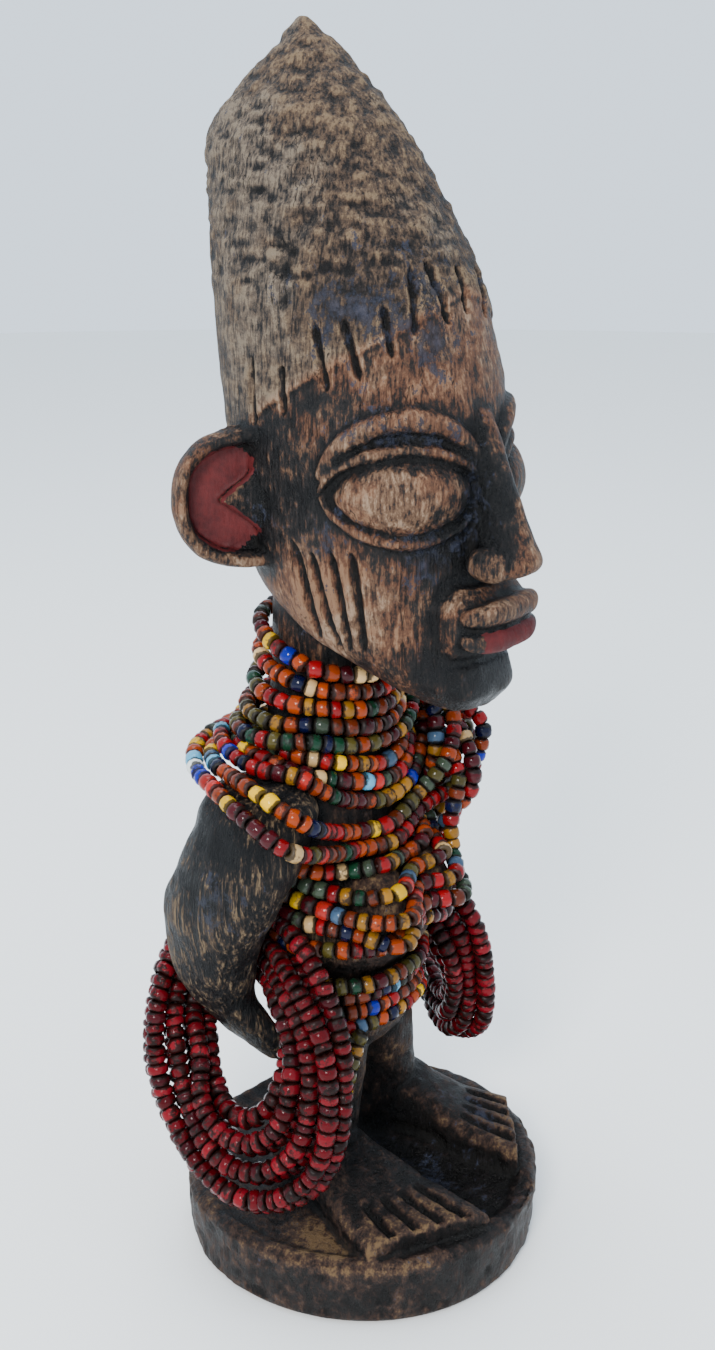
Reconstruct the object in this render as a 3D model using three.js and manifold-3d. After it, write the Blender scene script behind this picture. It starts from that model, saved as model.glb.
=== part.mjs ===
import * as THREE from 'three';
import { mergeVertices } from 'three/addons/utils/BufferGeometryUtils.js';
import Module from 'manifold-3d';

// A small carved wooden twin figure with strings of glass beads. Millimetres, +Z up.
// It faces -Y, its right hand is at -X, and the origin lies on the underside of its base.

const wasm = await Module();
wasm.setup();

// Driving sizes
const FIGURE_HEIGHT = 263; // from the top of the base to the tip of the hair
const BASE_RADIUS = 43.5;
const BASE_THICKNESS = 17;
const BASE_EDGE = 1.5; // worn edge of the base
const FOOT_RISE = 5.5; // height of the toes over the base
const HAIR_NOTCHES = 15; // upright cuts along the hairline
const CHEEK_CUTS = 4; // on each cheek
const CUT_WIDTH = 1.8; // mouth of a knife cut
const CUT_DEPTH = 1.5;
const BEAD_DIAMETER = 3.5; // beads of mixed colours
const WRIST_BEAD_DIAMETER = 4; // red beads
const STRAND_GAP = 0.48; // between a string of beads and the wood or the next string

// The carving is laid out on a grid of 263 squares to the figure's height.
const SQUARE = FIGURE_HEIGHT / 263;
const TAU = Math.PI * 2;
const level = (up) => BASE_THICKNESS + up * SQUARE;
const onGrid = (x, y, up) => new THREE.Vector3(x * SQUARE, y * SQUARE, level(up));
const vector = (x, y, z) => new THREE.Vector3(x, y, z);
const count = (n) => Array.from({ length: n }, (_, i) => i);
const radians = THREE.MathUtils.degToRad;

// Solids

function manifoldOf(geometry) {
  const bare = geometry.clone();
  bare.deleteAttribute('normal');
  bare.deleteAttribute('uv');
  const merged = mergeVertices(bare, 1e-5);
  return new wasm.Manifold(new wasm.Mesh({
    numProp: 3,
    vertProperties: new Float32Array(merged.attributes.position.array),
    triVerts: new Uint32Array(merged.index.array),
  }));
}

function geometryOf(manifold) {
  const mesh = manifold.getMesh();
  const geometry = new THREE.BufferGeometry();
  geometry.setAttribute('position', new THREE.BufferAttribute(new Float32Array(mesh.vertProperties), 3));
  geometry.setIndex(new THREE.BufferAttribute(new Uint32Array(mesh.triVerts), 1));
  geometry.computeVertexNormals();
  return geometry;
}

// A skin over rings of points. An open row of rings gets a flat end at each side.
function skin(rings, closed = false) {
  const sides = rings[0].length;
  const points = rings.flat();
  const faces = [];
  const spans = closed ? rings.length : rings.length - 1;
  for (let i = 0; i < spans; i++) {
    const next = (i + 1) % rings.length;
    for (let j = 0; j < sides; j++) {
      const k = (j + 1) % sides;
      const [a, b, c, d] = [i * sides + j, i * sides + k, next * sides + k, next * sides + j];
      faces.push(a, b, c, a, c, d);
    }
  }
  if (!closed) {
    const centre = (ring) => ring.reduce((sum, p) => sum.add(p), vector(0, 0, 0)).divideScalar(sides);
    const first = points.push(centre(rings[0])) - 1;
    const last = points.push(centre(rings.at(-1))) - 1;
    const top = (rings.length - 1) * sides;
    for (let j = 0; j < sides; j++) {
      const k = (j + 1) % sides;
      faces.push(first, k, j, last, top + j, top + k);
    }
  }
  const geometry = new THREE.BufferGeometry().setFromPoints(points);
  geometry.setIndex(faces);
  return geometry;
}

const power = (value, exponent) => Math.sign(value) * Math.abs(value) ** exponent;

// An upright form given by level sections: height, centre x and y, half width, half depth, squareness.
// Angle 0 points forward (-Y) and a quarter turn points to the figure's right (-X).
class Form {
  constructor(sections) {
    this.sections = sections;
  }

  at(up) {
    const rows = this.sections;
    const last = rows.length - 1;
    const above = rows.findIndex((row) => row[0] > up);
    const i = above < 0 ? last - 1 : Math.max(above - 1, 0);
    const [from, to] = [rows[i], rows[i + 1]];
    const [before, after] = [rows[Math.max(i - 1, 0)], rows[Math.min(i + 2, last)]];
    const span = to[0] - from[0];
    const t = Math.min(Math.max((up - from[0]) / span, 0), 1);
    const [startSpan, endSpan] = [to[0] - before[0], after[0] - from[0]];
    return from.map((value, n) => value * (1 + 2 * t) * (1 - t) ** 2 + to[n] * t * t * (3 - 2 * t)
      + (to[n] - before[n]) / startSpan * span * t * (1 - t) ** 2
      + (after[n] - value) / endSpan * span * t * t * (t - 1));
  }

  point(angle, up, lift = 0) {
    const [, x, y, wide, deep, square] = this.at(up);
    const [s, c] = [Math.sin(angle), Math.cos(angle)];
    const out = vector(-s / wide, -c / deep, 0).normalize().multiplyScalar(lift);
    return onGrid(x - wide * power(s, 2 / square), y - deep * power(c, 2 / square), up).add(out);
  }

  angleAt(y, up) {
    const [, , centre, , deep, square] = this.at(up);
    return Math.acos(power((centre - y) / deep, square / 2));
  }

  outward(angle, up) {
    return this.point(angle, up, 1).sub(this.point(angle, up));
  }

  solid(sides, steps) {
    const rows = this.sections;
    const ups = rows.slice(0, -1).flatMap((row, i) => (
      count(steps).map((n) => row[0] + (rows[i + 1][0] - row[0]) * n / steps)));
    ups.push(rows.at(-1)[0]);
    return manifoldOf(skin(ups.map((up) => count(sides).map((j) => this.point(-j * TAU / sides, up)))));
  }
}

// A form along a row of points. across and high give its half sizes at each point, and out the way that
// high is measured.
function rail(points, { across, high, out, sides = 8, square = 2, closed = false }) {
  const last = points.length - 1;
  const rings = points.map((point, i) => {
    const before = closed ? points.at(i - 1) : points[Math.max(i - 1, 0)];
    const after = closed ? points[(i + 1) % points.length] : points[Math.min(i + 1, last)];
    const along = after.clone().sub(before).normalize();
    const up = typeof out === 'function' ? out(i) : out;
    const side = along.clone().cross(up).normalize();
    const rise = side.clone().cross(along);
    const sizeAt = (size) => (typeof size === 'function' ? size(i / last) : size);
    const [halfSide, halfRise] = [across, high].map(sizeAt);
    return count(sides).map((j) => {
      const angle = j * TAU / sides;
      return point.clone()
        .addScaledVector(rise, halfRise * power(Math.cos(angle), 2 / square))
        .addScaledVector(side, halfSide * power(Math.sin(angle), 2 / square));
    });
  });
  return skin(rings, closed);
}

// A knife cut: a three-sided sliver, deepest in the middle, along points on a surface.
function knifeCut(points, out, width, depth) {
  const last = points.length - 1;
  const rings = points.map((point, i) => {
    const along = points[Math.min(i + 1, last)].clone().sub(points[Math.max(i - 1, 0)]).normalize();
    const side = along.clone().cross(out);
    const swell = i % last ? 1 : 0.3;
    const mouth = point.clone().addScaledVector(out, depth / 2);
    return [
      point.clone().addScaledVector(out, -depth * swell),
      mouth.clone().addScaledVector(side, -width * 0.75 * swell),
      mouth.clone().addScaledVector(side, width * 0.75 * swell),
    ];
  });
  return manifoldOf(skin(rings));
}

const between = (a, b, t) => a + (b - a) * t;
const arch = (s) => Math.sqrt(Math.max(1 - s * s, 0));

// Head and hair: one form from the chin to the tip of the hair
const head = new Form([
  [125.5, 0, -28, 8, 5.5, 2.4],
  [130.5, 0, -23, 14.5, 12, 2.4],
  [134.5, 0, -17.5, 17.5, 17, 2.3],
  [139, 0, -11.5, 20, 22, 2.2],
  [147, 0, -6, 22.5, 26.5, 2.2],
  [156, 0, -3.2, 24, 28.5, 2.2],
  [168, 0, -1.2, 25, 30.2, 2.2],
  [186, 0, -0.4, 25.5, 31.2, 2.2],
  [200, 0, 1.7, 25, 30.8, 2.2],
  [211, 0, 3.9, 24, 29.9, 2.2],
  [234, 0, 11.9, 19, 24.7, 2.2],
  [243, 0, 14.9, 15.5, 21.3, 2.2],
  [251, 0, 14.9, 10.5, 14, 2.1],
  [259, 0, 14.6, 4.5, 5.6, 2],
  [263, 0, 15.3, 1, 1, 2],
]);

// The face is set out by the carvers' own rule: shares of the height from chin to hairline.
const CHIN = 125.5;
const HAIRLINE = 211;
const faceLevel = (share) => CHIN + (HAIRLINE - CHIN) * share;
const EYE = { share: 0.54, angle: radians(40), spread: radians(34), half: 9, bulge: 5.4 };

function eye(side) {
  const place = (s, rise, lift) => (
    head.point(-side * (EYE.angle + EYE.spread * s), faceLevel(EYE.share) + rise, lift * SQUARE));
  const out = (s) => head.outward(-side * (EYE.angle + EYE.spread * s), faceLevel(EYE.share));
  const band = (rise, lift, thick, steps) => rail(
    count(steps + 1).map((i) => place(between(-1.08, 1.08, i / steps), rise(between(-1, 1, i / steps)), lift)),
    {
      across: (t) => thick * SQUARE * (0.35 + 0.65 * arch(between(-1, 1, t))),
      high: 1.5 * SQUARE,
      out: (i) => out(between(-1.08, 1.08, i / steps)),
      sides: 4,
    },
  );
  const ball = rail(count(6).map((i) => place(between(-0.93, 0.93, i / 5), 0, -1)), {
    across: (t) => SQUARE * (0.4 + (EYE.half - 1.4) * arch(between(-1, 1, t)) ** 1.3),
    high: (t) => SQUARE * (0.4 + EYE.bulge * arch(between(-1, 1, t))),
    out: (i) => out(between(-0.93, 0.93, i / 5)),
    sides: 8,
  });
  return [
    ball,
    band((s) => EYE.half * arch(s) ** 1.2 + 0.4, 0.4, 1.4, 6),
    band((s) => -EYE.half * arch(s) ** 1.2 - 0.4, 0.2, 1.3, 6),
    band((s) => 15.5 * arch(s * 0.97) - 0.5, 0.5, 2.4, 6),
  ].map(manifoldOf);
}

const nose = new Form([
  [154.5, 0, -36.5, 5, 4.5, 2.2],
  [156, 0, -37.5, 6.6, 6.8, 2.2],
  [158.5, 0, -37.8, 6.4, 7.6, 2],
  [163, 0, -36, 5, 7.2, 1.9],
  [170, 0, -34, 4, 6, 1.8],
  [179, 0, -32, 3.4, 4.4, 1.8],
  [188, 0, -30.2, 2.6, 1.9, 1.8],
]);
const nostril = (side) => rail([-1, 0, 1].map((s) => onGrid(side * (5.8 + 0.6 * s), -37 + 4.2 * s, 157.6)), {
  across: (t) => SQUARE * (1 + 2.3 * arch(between(-1, 1, t))),
  high: (t) => SQUARE * (1 + 2.6 * arch(between(-1, 1, t))),
  out: vector(0, 0, 1),
});

// The mouth stands out of the face, and the lips are bent round it.
const muzzle = new Form([
  [136.5, 0, -29, 9, 3.5, 2.4],
  [139, 0, -30, 12, 6, 2.4],
  [142.5, 0, -31, 13, 7.5, 2.3],
  [146, 0, -31, 13, 8, 2.3],
  [149.5, 0, -31, 12, 7, 2.3],
  [152.5, 0, -31, 9.5, 4.5, 2.3],
]);
const UPPER_LIP = { up: 147.9, droop: 0.8 };
const LOWER_LIP = { up: 141.9, droop: -0.8 };
function lip({ up, droop }) {
  const steps = 8;
  const places = count(steps + 1).map((i) => between(-1, 1, i / steps));
  return rail(places.map((s) => muzzle.point(1.15 * s, up - droop * s * s, 0.3 * SQUARE)), {
    across: (t) => SQUARE * (0.8 + 2 * arch(between(-1, 1, t))),
    high: (t) => SQUARE * (0.7 + 2 * arch(between(-1, 1, t))),
    out: vector(0, 0, 1),
    square: 2.3,
  });
}
const chin = new Form([
  [CHIN + 0.5, 0, -27, 8, 6.5, 3.4],
  [CHIN + 4, 0, -28, 10.5, 8, 3.4],
  [CHIN + 10, 0, -27, 11, 8, 3],
]);

// An ear is a shell open to the front: a floor, a thick rim round it and a pointed fold from the cheek.
const EAR = { up: 168.3, reach: 16, half: 13, floor: 2.4, rim: 1.8, depth: 3.6 };

function ear(side) {
  const root = onGrid(side * 22.5, 10.5, EAR.up);
  const away = vector(side * 0.8, 0.6, 0);
  const front = vector(side * 0.6, -0.8, 0);
  const spot = (u, v, w) => root.clone()
    .addScaledVector(away, u * SQUARE).addScaledVector(front, w * SQUARE)
    .add(vector(0, 0, v * SQUARE));
  const steps = 7;
  const rim = rail(count(steps + 1).map((i) => {
    const angle = between(-0.6, 0.6, i / steps) * Math.PI;
    return spot(EAR.reach * power(Math.cos(angle), 0.8), EAR.half * power(Math.sin(angle), 0.8), 0);
  }), { across: EAR.rim * SQUARE, high: EAR.depth * SQUARE, out: front, sides: 4, square: 1.7 });
  const floor = rail([-1, -0.6, 0, 0.6, 1].map((s) => (
    spot(EAR.reach / 2 * arch(s * 0.96) - 1.5, EAR.half * s * 0.97, -EAR.depth / 2))), {
    across: (t) => SQUARE * (EAR.reach / 2 + 1.5) * arch(between(-0.96, 0.96, t)),
    high: EAR.floor / 2 * SQUARE,
    out: front,
    sides: 4,
    square: 1,
  });
  const fold = rail([-7, -1, 4, 8].map((u) => spot(u, 0, 1)), {
    across: (t) => SQUARE * between(12, 0.5, t),
    high: (t) => SQUARE * between(4.5, 1.2, t),
    out: front,
    sides: 4,
  });
  return [rim, floor, fold].map(manifoldOf);
}

// Body: hips, belly, chest and neck in one form
const body = new Form([
  [33, 2.5, 6, 15, 10.5, 2.4],
  [38, 2, 5.6, 18, 12.5, 2.4],
  [52, 0.4, 4, 15, 12, 2.1],
  [58, 0, 3, 16.3, 14.2, 2.1],
  [64, 0, 2, 19.2, 17.2, 2.1],
  [71, 0, 2.5, 19.8, 16.6, 2.1],
  [80, 0, 4, 17.8, 14.2, 2.1],
  [90, 0, 5.5, 18.2, 12.8, 2.2],
  [98, 0, 7, 23, 12, 2.5],
  [104, 0, 8.5, 20.5, 12.3, 2.4],
  [109, 0, 9.5, 16.5, 13, 2.1],
  [116, 0, 10, 14, 13.6, 2],
  [126, 0, 10, 12.6, 12.8, 2],
  [150, 0, 9, 12.4, 12.8, 2],
]);
const breast = (side) => rail([[5, 78, -5], [8, 76, -10.5], [9.4, 73.5, -15], [9.8, 71.5, -18]]
  .map(([x, up, y]) => onGrid(side * x, y, up)), {
  across: (t) => SQUARE * [8.5, 7.4, 4.8, 1.6][Math.round(t * 3)],
  high: (t) => SQUARE * [8.5, 7.4, 4.8, 1.6][Math.round(t * 3)],
  out: vector(0, 0, 1),
  sides: 7,
});

// The arms hang with the elbows back and the hands on the hips.
const arm = (side) => new Form([
  [33, 19, 12, 2.6, 4.5],
  [41, 23.5, 15, 4.5, 8],
  [51, 29.2, 18, 6, 8.5],
  [58, 31.3, 18.2, 7.6, 10],
  [66, 32.6, 17.3, 8.5, 11.5],
  [76, 33.2, 14.5, 9.3, 14.3],
  [86, 31.9, 10.5, 9.6, 14.6],
  [95, 28.6, 8, 10.6, 14],
  [101, 26.4, 7.6, 10.2, 13.4],
  [104.5, 25.4, 7.8, 7.6, 10.4],
  [106, 25, 8, 4, 6],
].map(([up, x, y, wide, deep]) => [up, side * x, y, wide, deep, 2.3]));

// The block is cut a little twisted: the legs and feet stand turned to the figure's right.
const STANCE = { right: { ankle: [-11, 4.5], hip: [-7.5, 5] }, left: { ankle: [17.5, 8], hip: [12, 6.5] } };
const stanceOf = (side) => (side < 0 ? STANCE.right : STANCE.left);

const leg = (side) => {
  const { ankle, hip } = stanceOf(side);
  return new Form([
    [-1, 0, 8, 9],
    [15, 0.15, 8.8, 9.4],
    [28, 0.7, 9.2, 10.4],
    [36, 1, 9.2, 10.6],
    [40, 1, 8, 9.6],
  ].map(([up, t, wide, deep]) => {
    const [x, y] = [0, 1].map((n) => between(ankle[n], hip[n], t));
    return [up, x, y, wide, deep, 2.2];
  }));
};

// Both feet end in a square cut before the edge of the base, the big toe ahead of the small one.
const FOOT = {
  right: { heel: [-10.5, 15], toes: [-18.5, -34.5], half: 14.6, skew: radians(20) },
  left: { heel: [18, 20], toes: [27.5, -27], half: 11.5, skew: radians(-28) },
};
const TOE_CUTS = 4;

function foot(side) {
  const { heel, toes, half, skew } = side < 0 ? FOOT.right : FOOT.left;
  const [start, end] = [onGrid(...heel, 0), onGrid(...toes, 0)];
  const ahead = end.clone().sub(start).normalize();
  const sideways = ahead.clone().cross(vector(0, 0, 1));
  const profile = [
    [0, 6, 4],
    [0.1, 8.5, 6.5],
    [0.32, 9, 7.5],
    [0.5, half * 0.72, 4.5],
    [0.74, half * 0.9, 1],
    [1, half, 0],
  ];
  const pick = (t) => profile[Math.round(t * (profile.length - 1))];
  const spine = profile.map(([t, , rise]) => start.clone().lerp(end, t)
    .setZ(BASE_THICKNESS + (FOOT_RISE + rise * SQUARE) / 2 - 1));
  const sole = rail(spine, {
    across: (t) => pick(t)[1] * SQUARE,
    high: (t) => (FOOT_RISE + pick(t)[2] * SQUARE) / 2 + 1,
    out: vector(0, 0, 1),
    sides: 10,
    square: 3.4,
  });
  const slant = (point) => {
    const from = point.clone().sub(start);
    const share = Math.max(from.dot(ahead) / start.distanceTo(end), 0);
    return point.addScaledVector(ahead, -from.dot(sideways) * Math.tan(skew) * share ** 2);
  };
  const corners = sole.attributes.position;
  count(corners.count).forEach((i) => {
    corners.setXYZ(i, ...slant(new THREE.Vector3().fromBufferAttribute(corners, i)).toArray());
  });
  const cuts = count(TOE_CUTS).map((i) => {
    const shift = (i + 1 - (TOE_CUTS + 1) / 2) * half * 2 / (TOE_CUTS + 1) * SQUARE;
    const path = [-14, -5, 4].map((d) => slant(end.clone().setZ(BASE_THICKNESS + FOOT_RISE)
      .addScaledVector(ahead, d * SQUARE).addScaledVector(sideways, shift * (1 + d / 60))));
    return knifeCut(path, vector(0, 0, 1), CUT_WIDTH * 1.2, CUT_DEPTH * 1.3);
  });
  return cuts.reduce((solid, cut) => solid.subtract(cut), manifoldOf(sole));
}

// The base is a thick disc cut by eye, a little out of round.
const BASE_CENTRE = [0.4, -0.6];
const BASE_SIDES = 28;
const wobble = (angle) => 1 + 0.012 * Math.cos(2 * angle + 0.6) + 0.012 * Math.cos(3 * angle - 0.8);
const base = manifoldOf(skin([
  [0, BASE_RADIUS - BASE_EDGE - 1],
  [BASE_EDGE, BASE_RADIUS - 1],
  [BASE_THICKNESS - BASE_EDGE, BASE_RADIUS],
  [BASE_THICKNESS, BASE_RADIUS - BASE_EDGE],
].map(([z, radius]) => count(BASE_SIDES).map((j) => {
  const angle = j * TAU / BASE_SIDES;
  const reach = radius * wobble(angle);
  return vector(BASE_CENTRE[0] + reach * Math.cos(angle), BASE_CENTRE[1] + reach * Math.sin(angle), z);
}))));
const HOLLOW_DEPTH = 3; // between the feet
const hollow = manifoldOf(rail([[4, 14], [4, 0], [5, -12], [6.5, -24], [7.5, -33]].map(([x, y]) => (
  vector(x * SQUARE, y * SQUARE, BASE_THICKNESS + 2))), {
  across: (t) => SQUARE * between(7, 12, t),
  high: HOLLOW_DEPTH + 2,
  out: vector(0, 0, 1),
  sides: 10,
  square: 2.6,
}));

// Knife cuts: the hairline, and the marks on the cheeks
const HAIRLINE_END = radians(104);
const HAIRLINE_DROP = 24;
const hairCuts = count(HAIR_NOTCHES).map((i) => {
  const angle = between(-HAIRLINE_END, HAIRLINE_END, i / (HAIR_NOTCHES - 1));
  const start = HAIRLINE - HAIRLINE_DROP * Math.abs(angle / HAIRLINE_END) ** 1.3;
  const path = count(3).map((n) => head.point(angle, start - 4 + 14 * n / 2));
  return knifeCut(path, head.outward(angle, start + 7), CUT_WIDTH, CUT_DEPTH);
});
const cheekCuts = (side) => count(CHEEK_CUTS).map((i) => {
  const angleAt = (t) => -side * head.angleAt(between(-1 - 4.6 * i, -5.5 - 3.6 * i, t), between(160, 138, t));
  const path = count(3).map((n) => head.point(angleAt(n / 2), between(160, 138, n / 2)));
  return knifeCut(path, head.outward(angleAt(0.5), 149), CUT_WIDTH, CUT_DEPTH);
});

const join = (solids) => solids.reduce((sum, solid) => sum.add(solid));
const cut = (solid, tools) => tools.reduce((rest, tool) => rest.subtract(tool), solid);
const SIDES = [-1, 1];
const trunk = join([body.solid(16, 1), ...SIDES.map(breast).map(manifoldOf)]);
const arms = SIDES.map((side) => arm(side).solid(10, 1));
const headSolid = cut(head.solid(24, 1), [...hairCuts, ...SIDES.flatMap(cheekCuts)]);
const figure = join([
  base.subtract(hollow),
  ...SIDES.map((side) => leg(side).solid(10, 1)),
  ...SIDES.map(foot),
  trunk,
  ...arms,
  headSolid,
  ...SIDES.flatMap(eye),
  nose.solid(8, 1),
  muzzle.solid(12, 1),
  ...[...SIDES.map(nostril), lip(UPPER_LIP), lip(LOWER_LIP)].map(manifoldOf),
  chin.solid(8, 1),
  ...SIDES.flatMap(ear),
]);

const object = new THREE.Group();

function addPiece(name, geometry, color, roughness) {
  const mesh = new THREE.Mesh(geometry, new THREE.MeshStandardMaterial({ color, roughness, metalness: 0 }));
  mesh.name = name;
  object.add(mesh);
}

const LEAST_FACET = 0.35; // smaller steps of the carving are left out
addPiece('carved_figure', geometryOf(figure.simplify(LEAST_FACET)), 0x5a4636, 0.6);

// Strings of beads. Each is a closed loop, drawn as a tube of the beads' own diameter.
const strings = [];
const strand = (name, points, diameter, color, sides) => (
  strings.push({ name, points, radius: diameter / 2, color, sides }));

function tubeOf({ points, radius, sides }) {
  const centre = points.reduce((sum, p) => sum.add(p), vector(0, 0, 0)).divideScalar(points.length);
  return rail(points, {
    across: radius,
    high: radius,
    out: (i) => points[i].clone().sub(centre).normalize(),
    sides,
    closed: true,
  });
}

// How far a point must move to lie clear of a solid.
function outsideOf(solid) {
  const { attributes: { position }, index } = geometryOf(solid);
  const triangles = count(index.count / 3).map((i) => {
    const corners = index.array.slice(i * 3, i * 3 + 3);
    const triangle = new THREE.Triangle().setFromAttributeAndIndices(position, ...corners);
    const sphere = new THREE.Sphere().setFromPoints([triangle.a, triangle.b, triangle.c]);
    return { triangle, sphere, normal: triangle.getNormal(vector(0, 0, 0)) };
  });
  const touch = vector(0, 0, 0);
  return (point, room) => {
    let best = { distance: room * 3 };
    triangles.forEach(({ triangle, sphere, normal }) => {
      if (sphere.distanceToPoint(point) > best.distance + 1e-3) return;
      triangle.closestPointToPoint(point, touch);
      const distance = touch.distanceTo(point);
      const facing = distance ? point.clone().sub(touch).dot(normal) / distance : 1;
      const tied = Math.abs(distance - best.distance) <= 1e-3;
      if (tied && Math.abs(facing) <= Math.abs(best.facing)) return;
      if (distance < best.distance + 1e-3) best = { distance, facing, touch: touch.clone(), normal };
    });
    if (!best.touch) return vector(0, 0, 0);
    const inside = best.facing < 0;
    if (!inside && best.distance >= room) return vector(0, 0, 0);
    const away = inside ? best.touch.clone().sub(point) : point.clone().sub(best.touch);
    if (away.length() < 1e-6) away.copy(best.normal);
    return away.setLength(inside ? best.distance + room : room - best.distance);
  };
}

// The nearest places of two straight lines, as shares of their lengths.
function nearest(a, b, c, d) {
  const [u, v, w] = [b.clone().sub(a), d.clone().sub(c), a.clone().sub(c)];
  const [uu, uv, vv, uw, vw] = [u.dot(u), u.dot(v), v.dot(v), u.dot(w), v.dot(w)];
  const within = (value) => Math.min(Math.max(value, 0), 1);
  const slack = uu * vv - uv * uv;
  const first = within(slack > 1e-9 ? (uv * vw - vv * uw) / slack : 0.5);
  const second = within((uv * first + vw) / vv);
  return [within((uv * second - uw) / uu), second];
}

// Lets all strings find their place: each keeps near the way it was laid, bends evenly and lies clear of the
// others and of the wood.
const SETTLING = 80; // rounds
const MEMORY = 0.2; // pull to the laid place
const STIFFNESS = 0.12; // pull to the middle of the two neighbours
const SPREADING = 0.6; // share of a clash that is undone in a round
function settle(outside) {
  const laid = strings.map(({ points }) => points.map((p) => p.clone()));
  const next = (points, i) => points[(i + 1) % points.length];
  const links = strings.flatMap((string, s) => string.points.map((from, i) => (
    { s, from, to: next(string.points, i), radius: string.radius })));
  count(SETTLING).forEach((round) => {
    const ease = Math.max(1 - round / SETTLING * 1.3, 0);
    strings.forEach(({ points }, s) => points.forEach((point, i) => {
      point.lerp(laid[s][i], MEMORY * ease);
      point.lerp(points.at(i - 1).clone().lerp(next(points, i), 0.5), STIFFNESS * ease);
    }));
    links.forEach((one, i) => links.slice(i + 1).forEach((other) => {
      if (one.s === other.s || one.from.distanceTo(other.from) > 20 * SQUARE) return;
      const room = one.radius + other.radius + STRAND_GAP;
      const [t, u] = nearest(one.from, one.to, other.from, other.to);
      const apart = one.from.clone().lerp(one.to, t).sub(other.from.clone().lerp(other.to, u));
      const short = room - apart.length();
      if (short <= 0) return;
      apart.setLength(short * SPREADING);
      one.from.addScaledVector(apart, 1 - t);
      one.to.addScaledVector(apart, t);
      other.from.addScaledVector(apart, u - 1);
      other.to.addScaledVector(apart, -u);
    }));
    links.forEach(({ from, to, radius }) => count(7).forEach((step) => {
      const share = step / 7;
      const push = outside(from.clone().lerp(to, share), radius + STRAND_GAP);
      from.addScaledVector(push, 1 - share);
      to.addScaledVector(push, share);
    }));
  });
}

// Where a ray towards a centre first meets a solid, as the distance from that centre.
function reachOf(solid, centre) {
  const mesh = new THREE.Mesh(geometryOf(solid));
  const caster = new THREE.Raycaster();
  return (away) => {
    caster.set(centre.clone().addScaledVector(away, FIGURE_HEIGHT), away.clone().negate());
    return FIGURE_HEIGHT - caster.intersectObject(mesh)[0].distance;
  };
}

const ring = (steps, place) => count(steps).map((i) => place(i * TAU / steps));
const loop = (knots, steps) => {
  const curve = new THREE.CatmullRomCurve3(knots, true, 'centripetal');
  return count(steps).map((i) => curve.getPoint(i / steps));
};
const PITCH = BEAD_DIAMETER + STRAND_GAP;
const BEAD_COLOR = 0x8c4a26;
const WRIST_COLOR = 0x8f2a24;

// Neck strands stack up from the shoulders. The upper ones tip forward under the jaw, and the lower ones hang
// slack towards the back of the right shoulder, where the collars are piled up.
const PILE_AT = radians(125);
const NECK_SLACK = 5.5;
const NECK_FOOT = 111.8;
const NECK_TOP = 130;
const NECK_STRANDS = Math.floor((NECK_TOP - NECK_FOOT) * SQUARE / PITCH) + 1;
const NECK_TIP = 0.42; // rise of the top one towards the back
count(NECK_STRANDS).forEach((i) => {
  const share = i / (NECK_STRANDS - 1);
  const points = ring(12, (angle) => {
    const rise = NECK_TIP * share ** 1.3 * 15 * SQUARE * (0.75 - Math.cos(angle));
    const height = level(NECK_FOOT) + i * PITCH + rise;
    const [, x, y, wide, deep] = body.at((height - BASE_THICKNESS) / SQUARE);
    const slack = NECK_SLACK * SQUARE * (1 - share) * Math.max(Math.cos(angle - PILE_AT), 0);
    const lift = BEAD_DIAMETER / 2 + STRAND_GAP * 2 + slack;
    return vector(
      x * SQUARE - (wide * SQUARE + lift) * Math.sin(angle),
      y * SQUARE - (deep * SQUARE + lift) * Math.cos(angle),
      height,
    );
  });
  strand(`neck_strand_${i + 1}`, points, BEAD_DIAMETER, BEAD_COLOR, 5);
});

// Strands draped over the shoulders. Each is given by how far it rises, in degrees over the level, at eight
// places round the chest: front, then by the right shoulder to the back and by the left shoulder.
const DRAPE_STEPS = 16;
function drape(name, rises, loose, centre, solid) {
  const reach = reachOf(solid, centre);
  const round = new THREE.CatmullRomCurve3(rises.map((rise, i) => vector(i, rise, 0)), true, 'centripetal');
  const points = ring(48, (angle) => {
    const rise = radians(round.getPoint(angle / TAU).y);
    const away = vector(-Math.sin(angle) * Math.cos(rise), -Math.cos(angle) * Math.cos(rise), Math.sin(rise));
    const hanging = loose * SQUARE * Math.max(Math.cos(angle - PILE_AT), 0) ** 0.4;
    return centre.clone().addScaledVector(away, Math.max(reach(away) + BEAD_DIAMETER / 2, hanging));
  });
  const curve = new THREE.CatmullRomCurve3(points, true, 'centripetal');
  strand(name, curve.getSpacedPoints(DRAPE_STEPS).slice(1), BEAD_DIAMETER, BEAD_COLOR, 5);
}
const SHOULDERS = onGrid(0, 7, 95);
[
  [39, 42, 40, 38, 44, 46, 42, 38],
  [25, 31, 33, 33, 38, 42, 36, 24],
  [6, 19, 27, 28, 34, 38, 32, 9],
  [-20, -8, 19, 24, 30, 36, 33, -1],
  [-29, -18, 14, 19, 26, 33, 30, -7],
].forEach((rises, i) => {
  const loose = 27 + 2.3 * i;
  drape(`collar_strand_${i + 1}`, rises, loose, SHOULDERS, join([trunk, ...arms]));
});
const CHEST = onGrid(0, 5, 88);
[
  [-15, -15, -12, 0, 12, 30, 44, -12],
  [-22, -24, -22, -10, 3, 28, 42, -18],
  [-29, -32, -32, -20, -5, 25, 40, -24],
  [-34, -36.5, -38, -29, -13, 22, 38, -29],
  [-39, -41.5, -44, -37, -21, 19, 36, -34],
].forEach((rises, i) => drape(`chest_strand_${i + 1}`, rises, 0, CHEST, join([trunk, arms[1]])));

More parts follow.
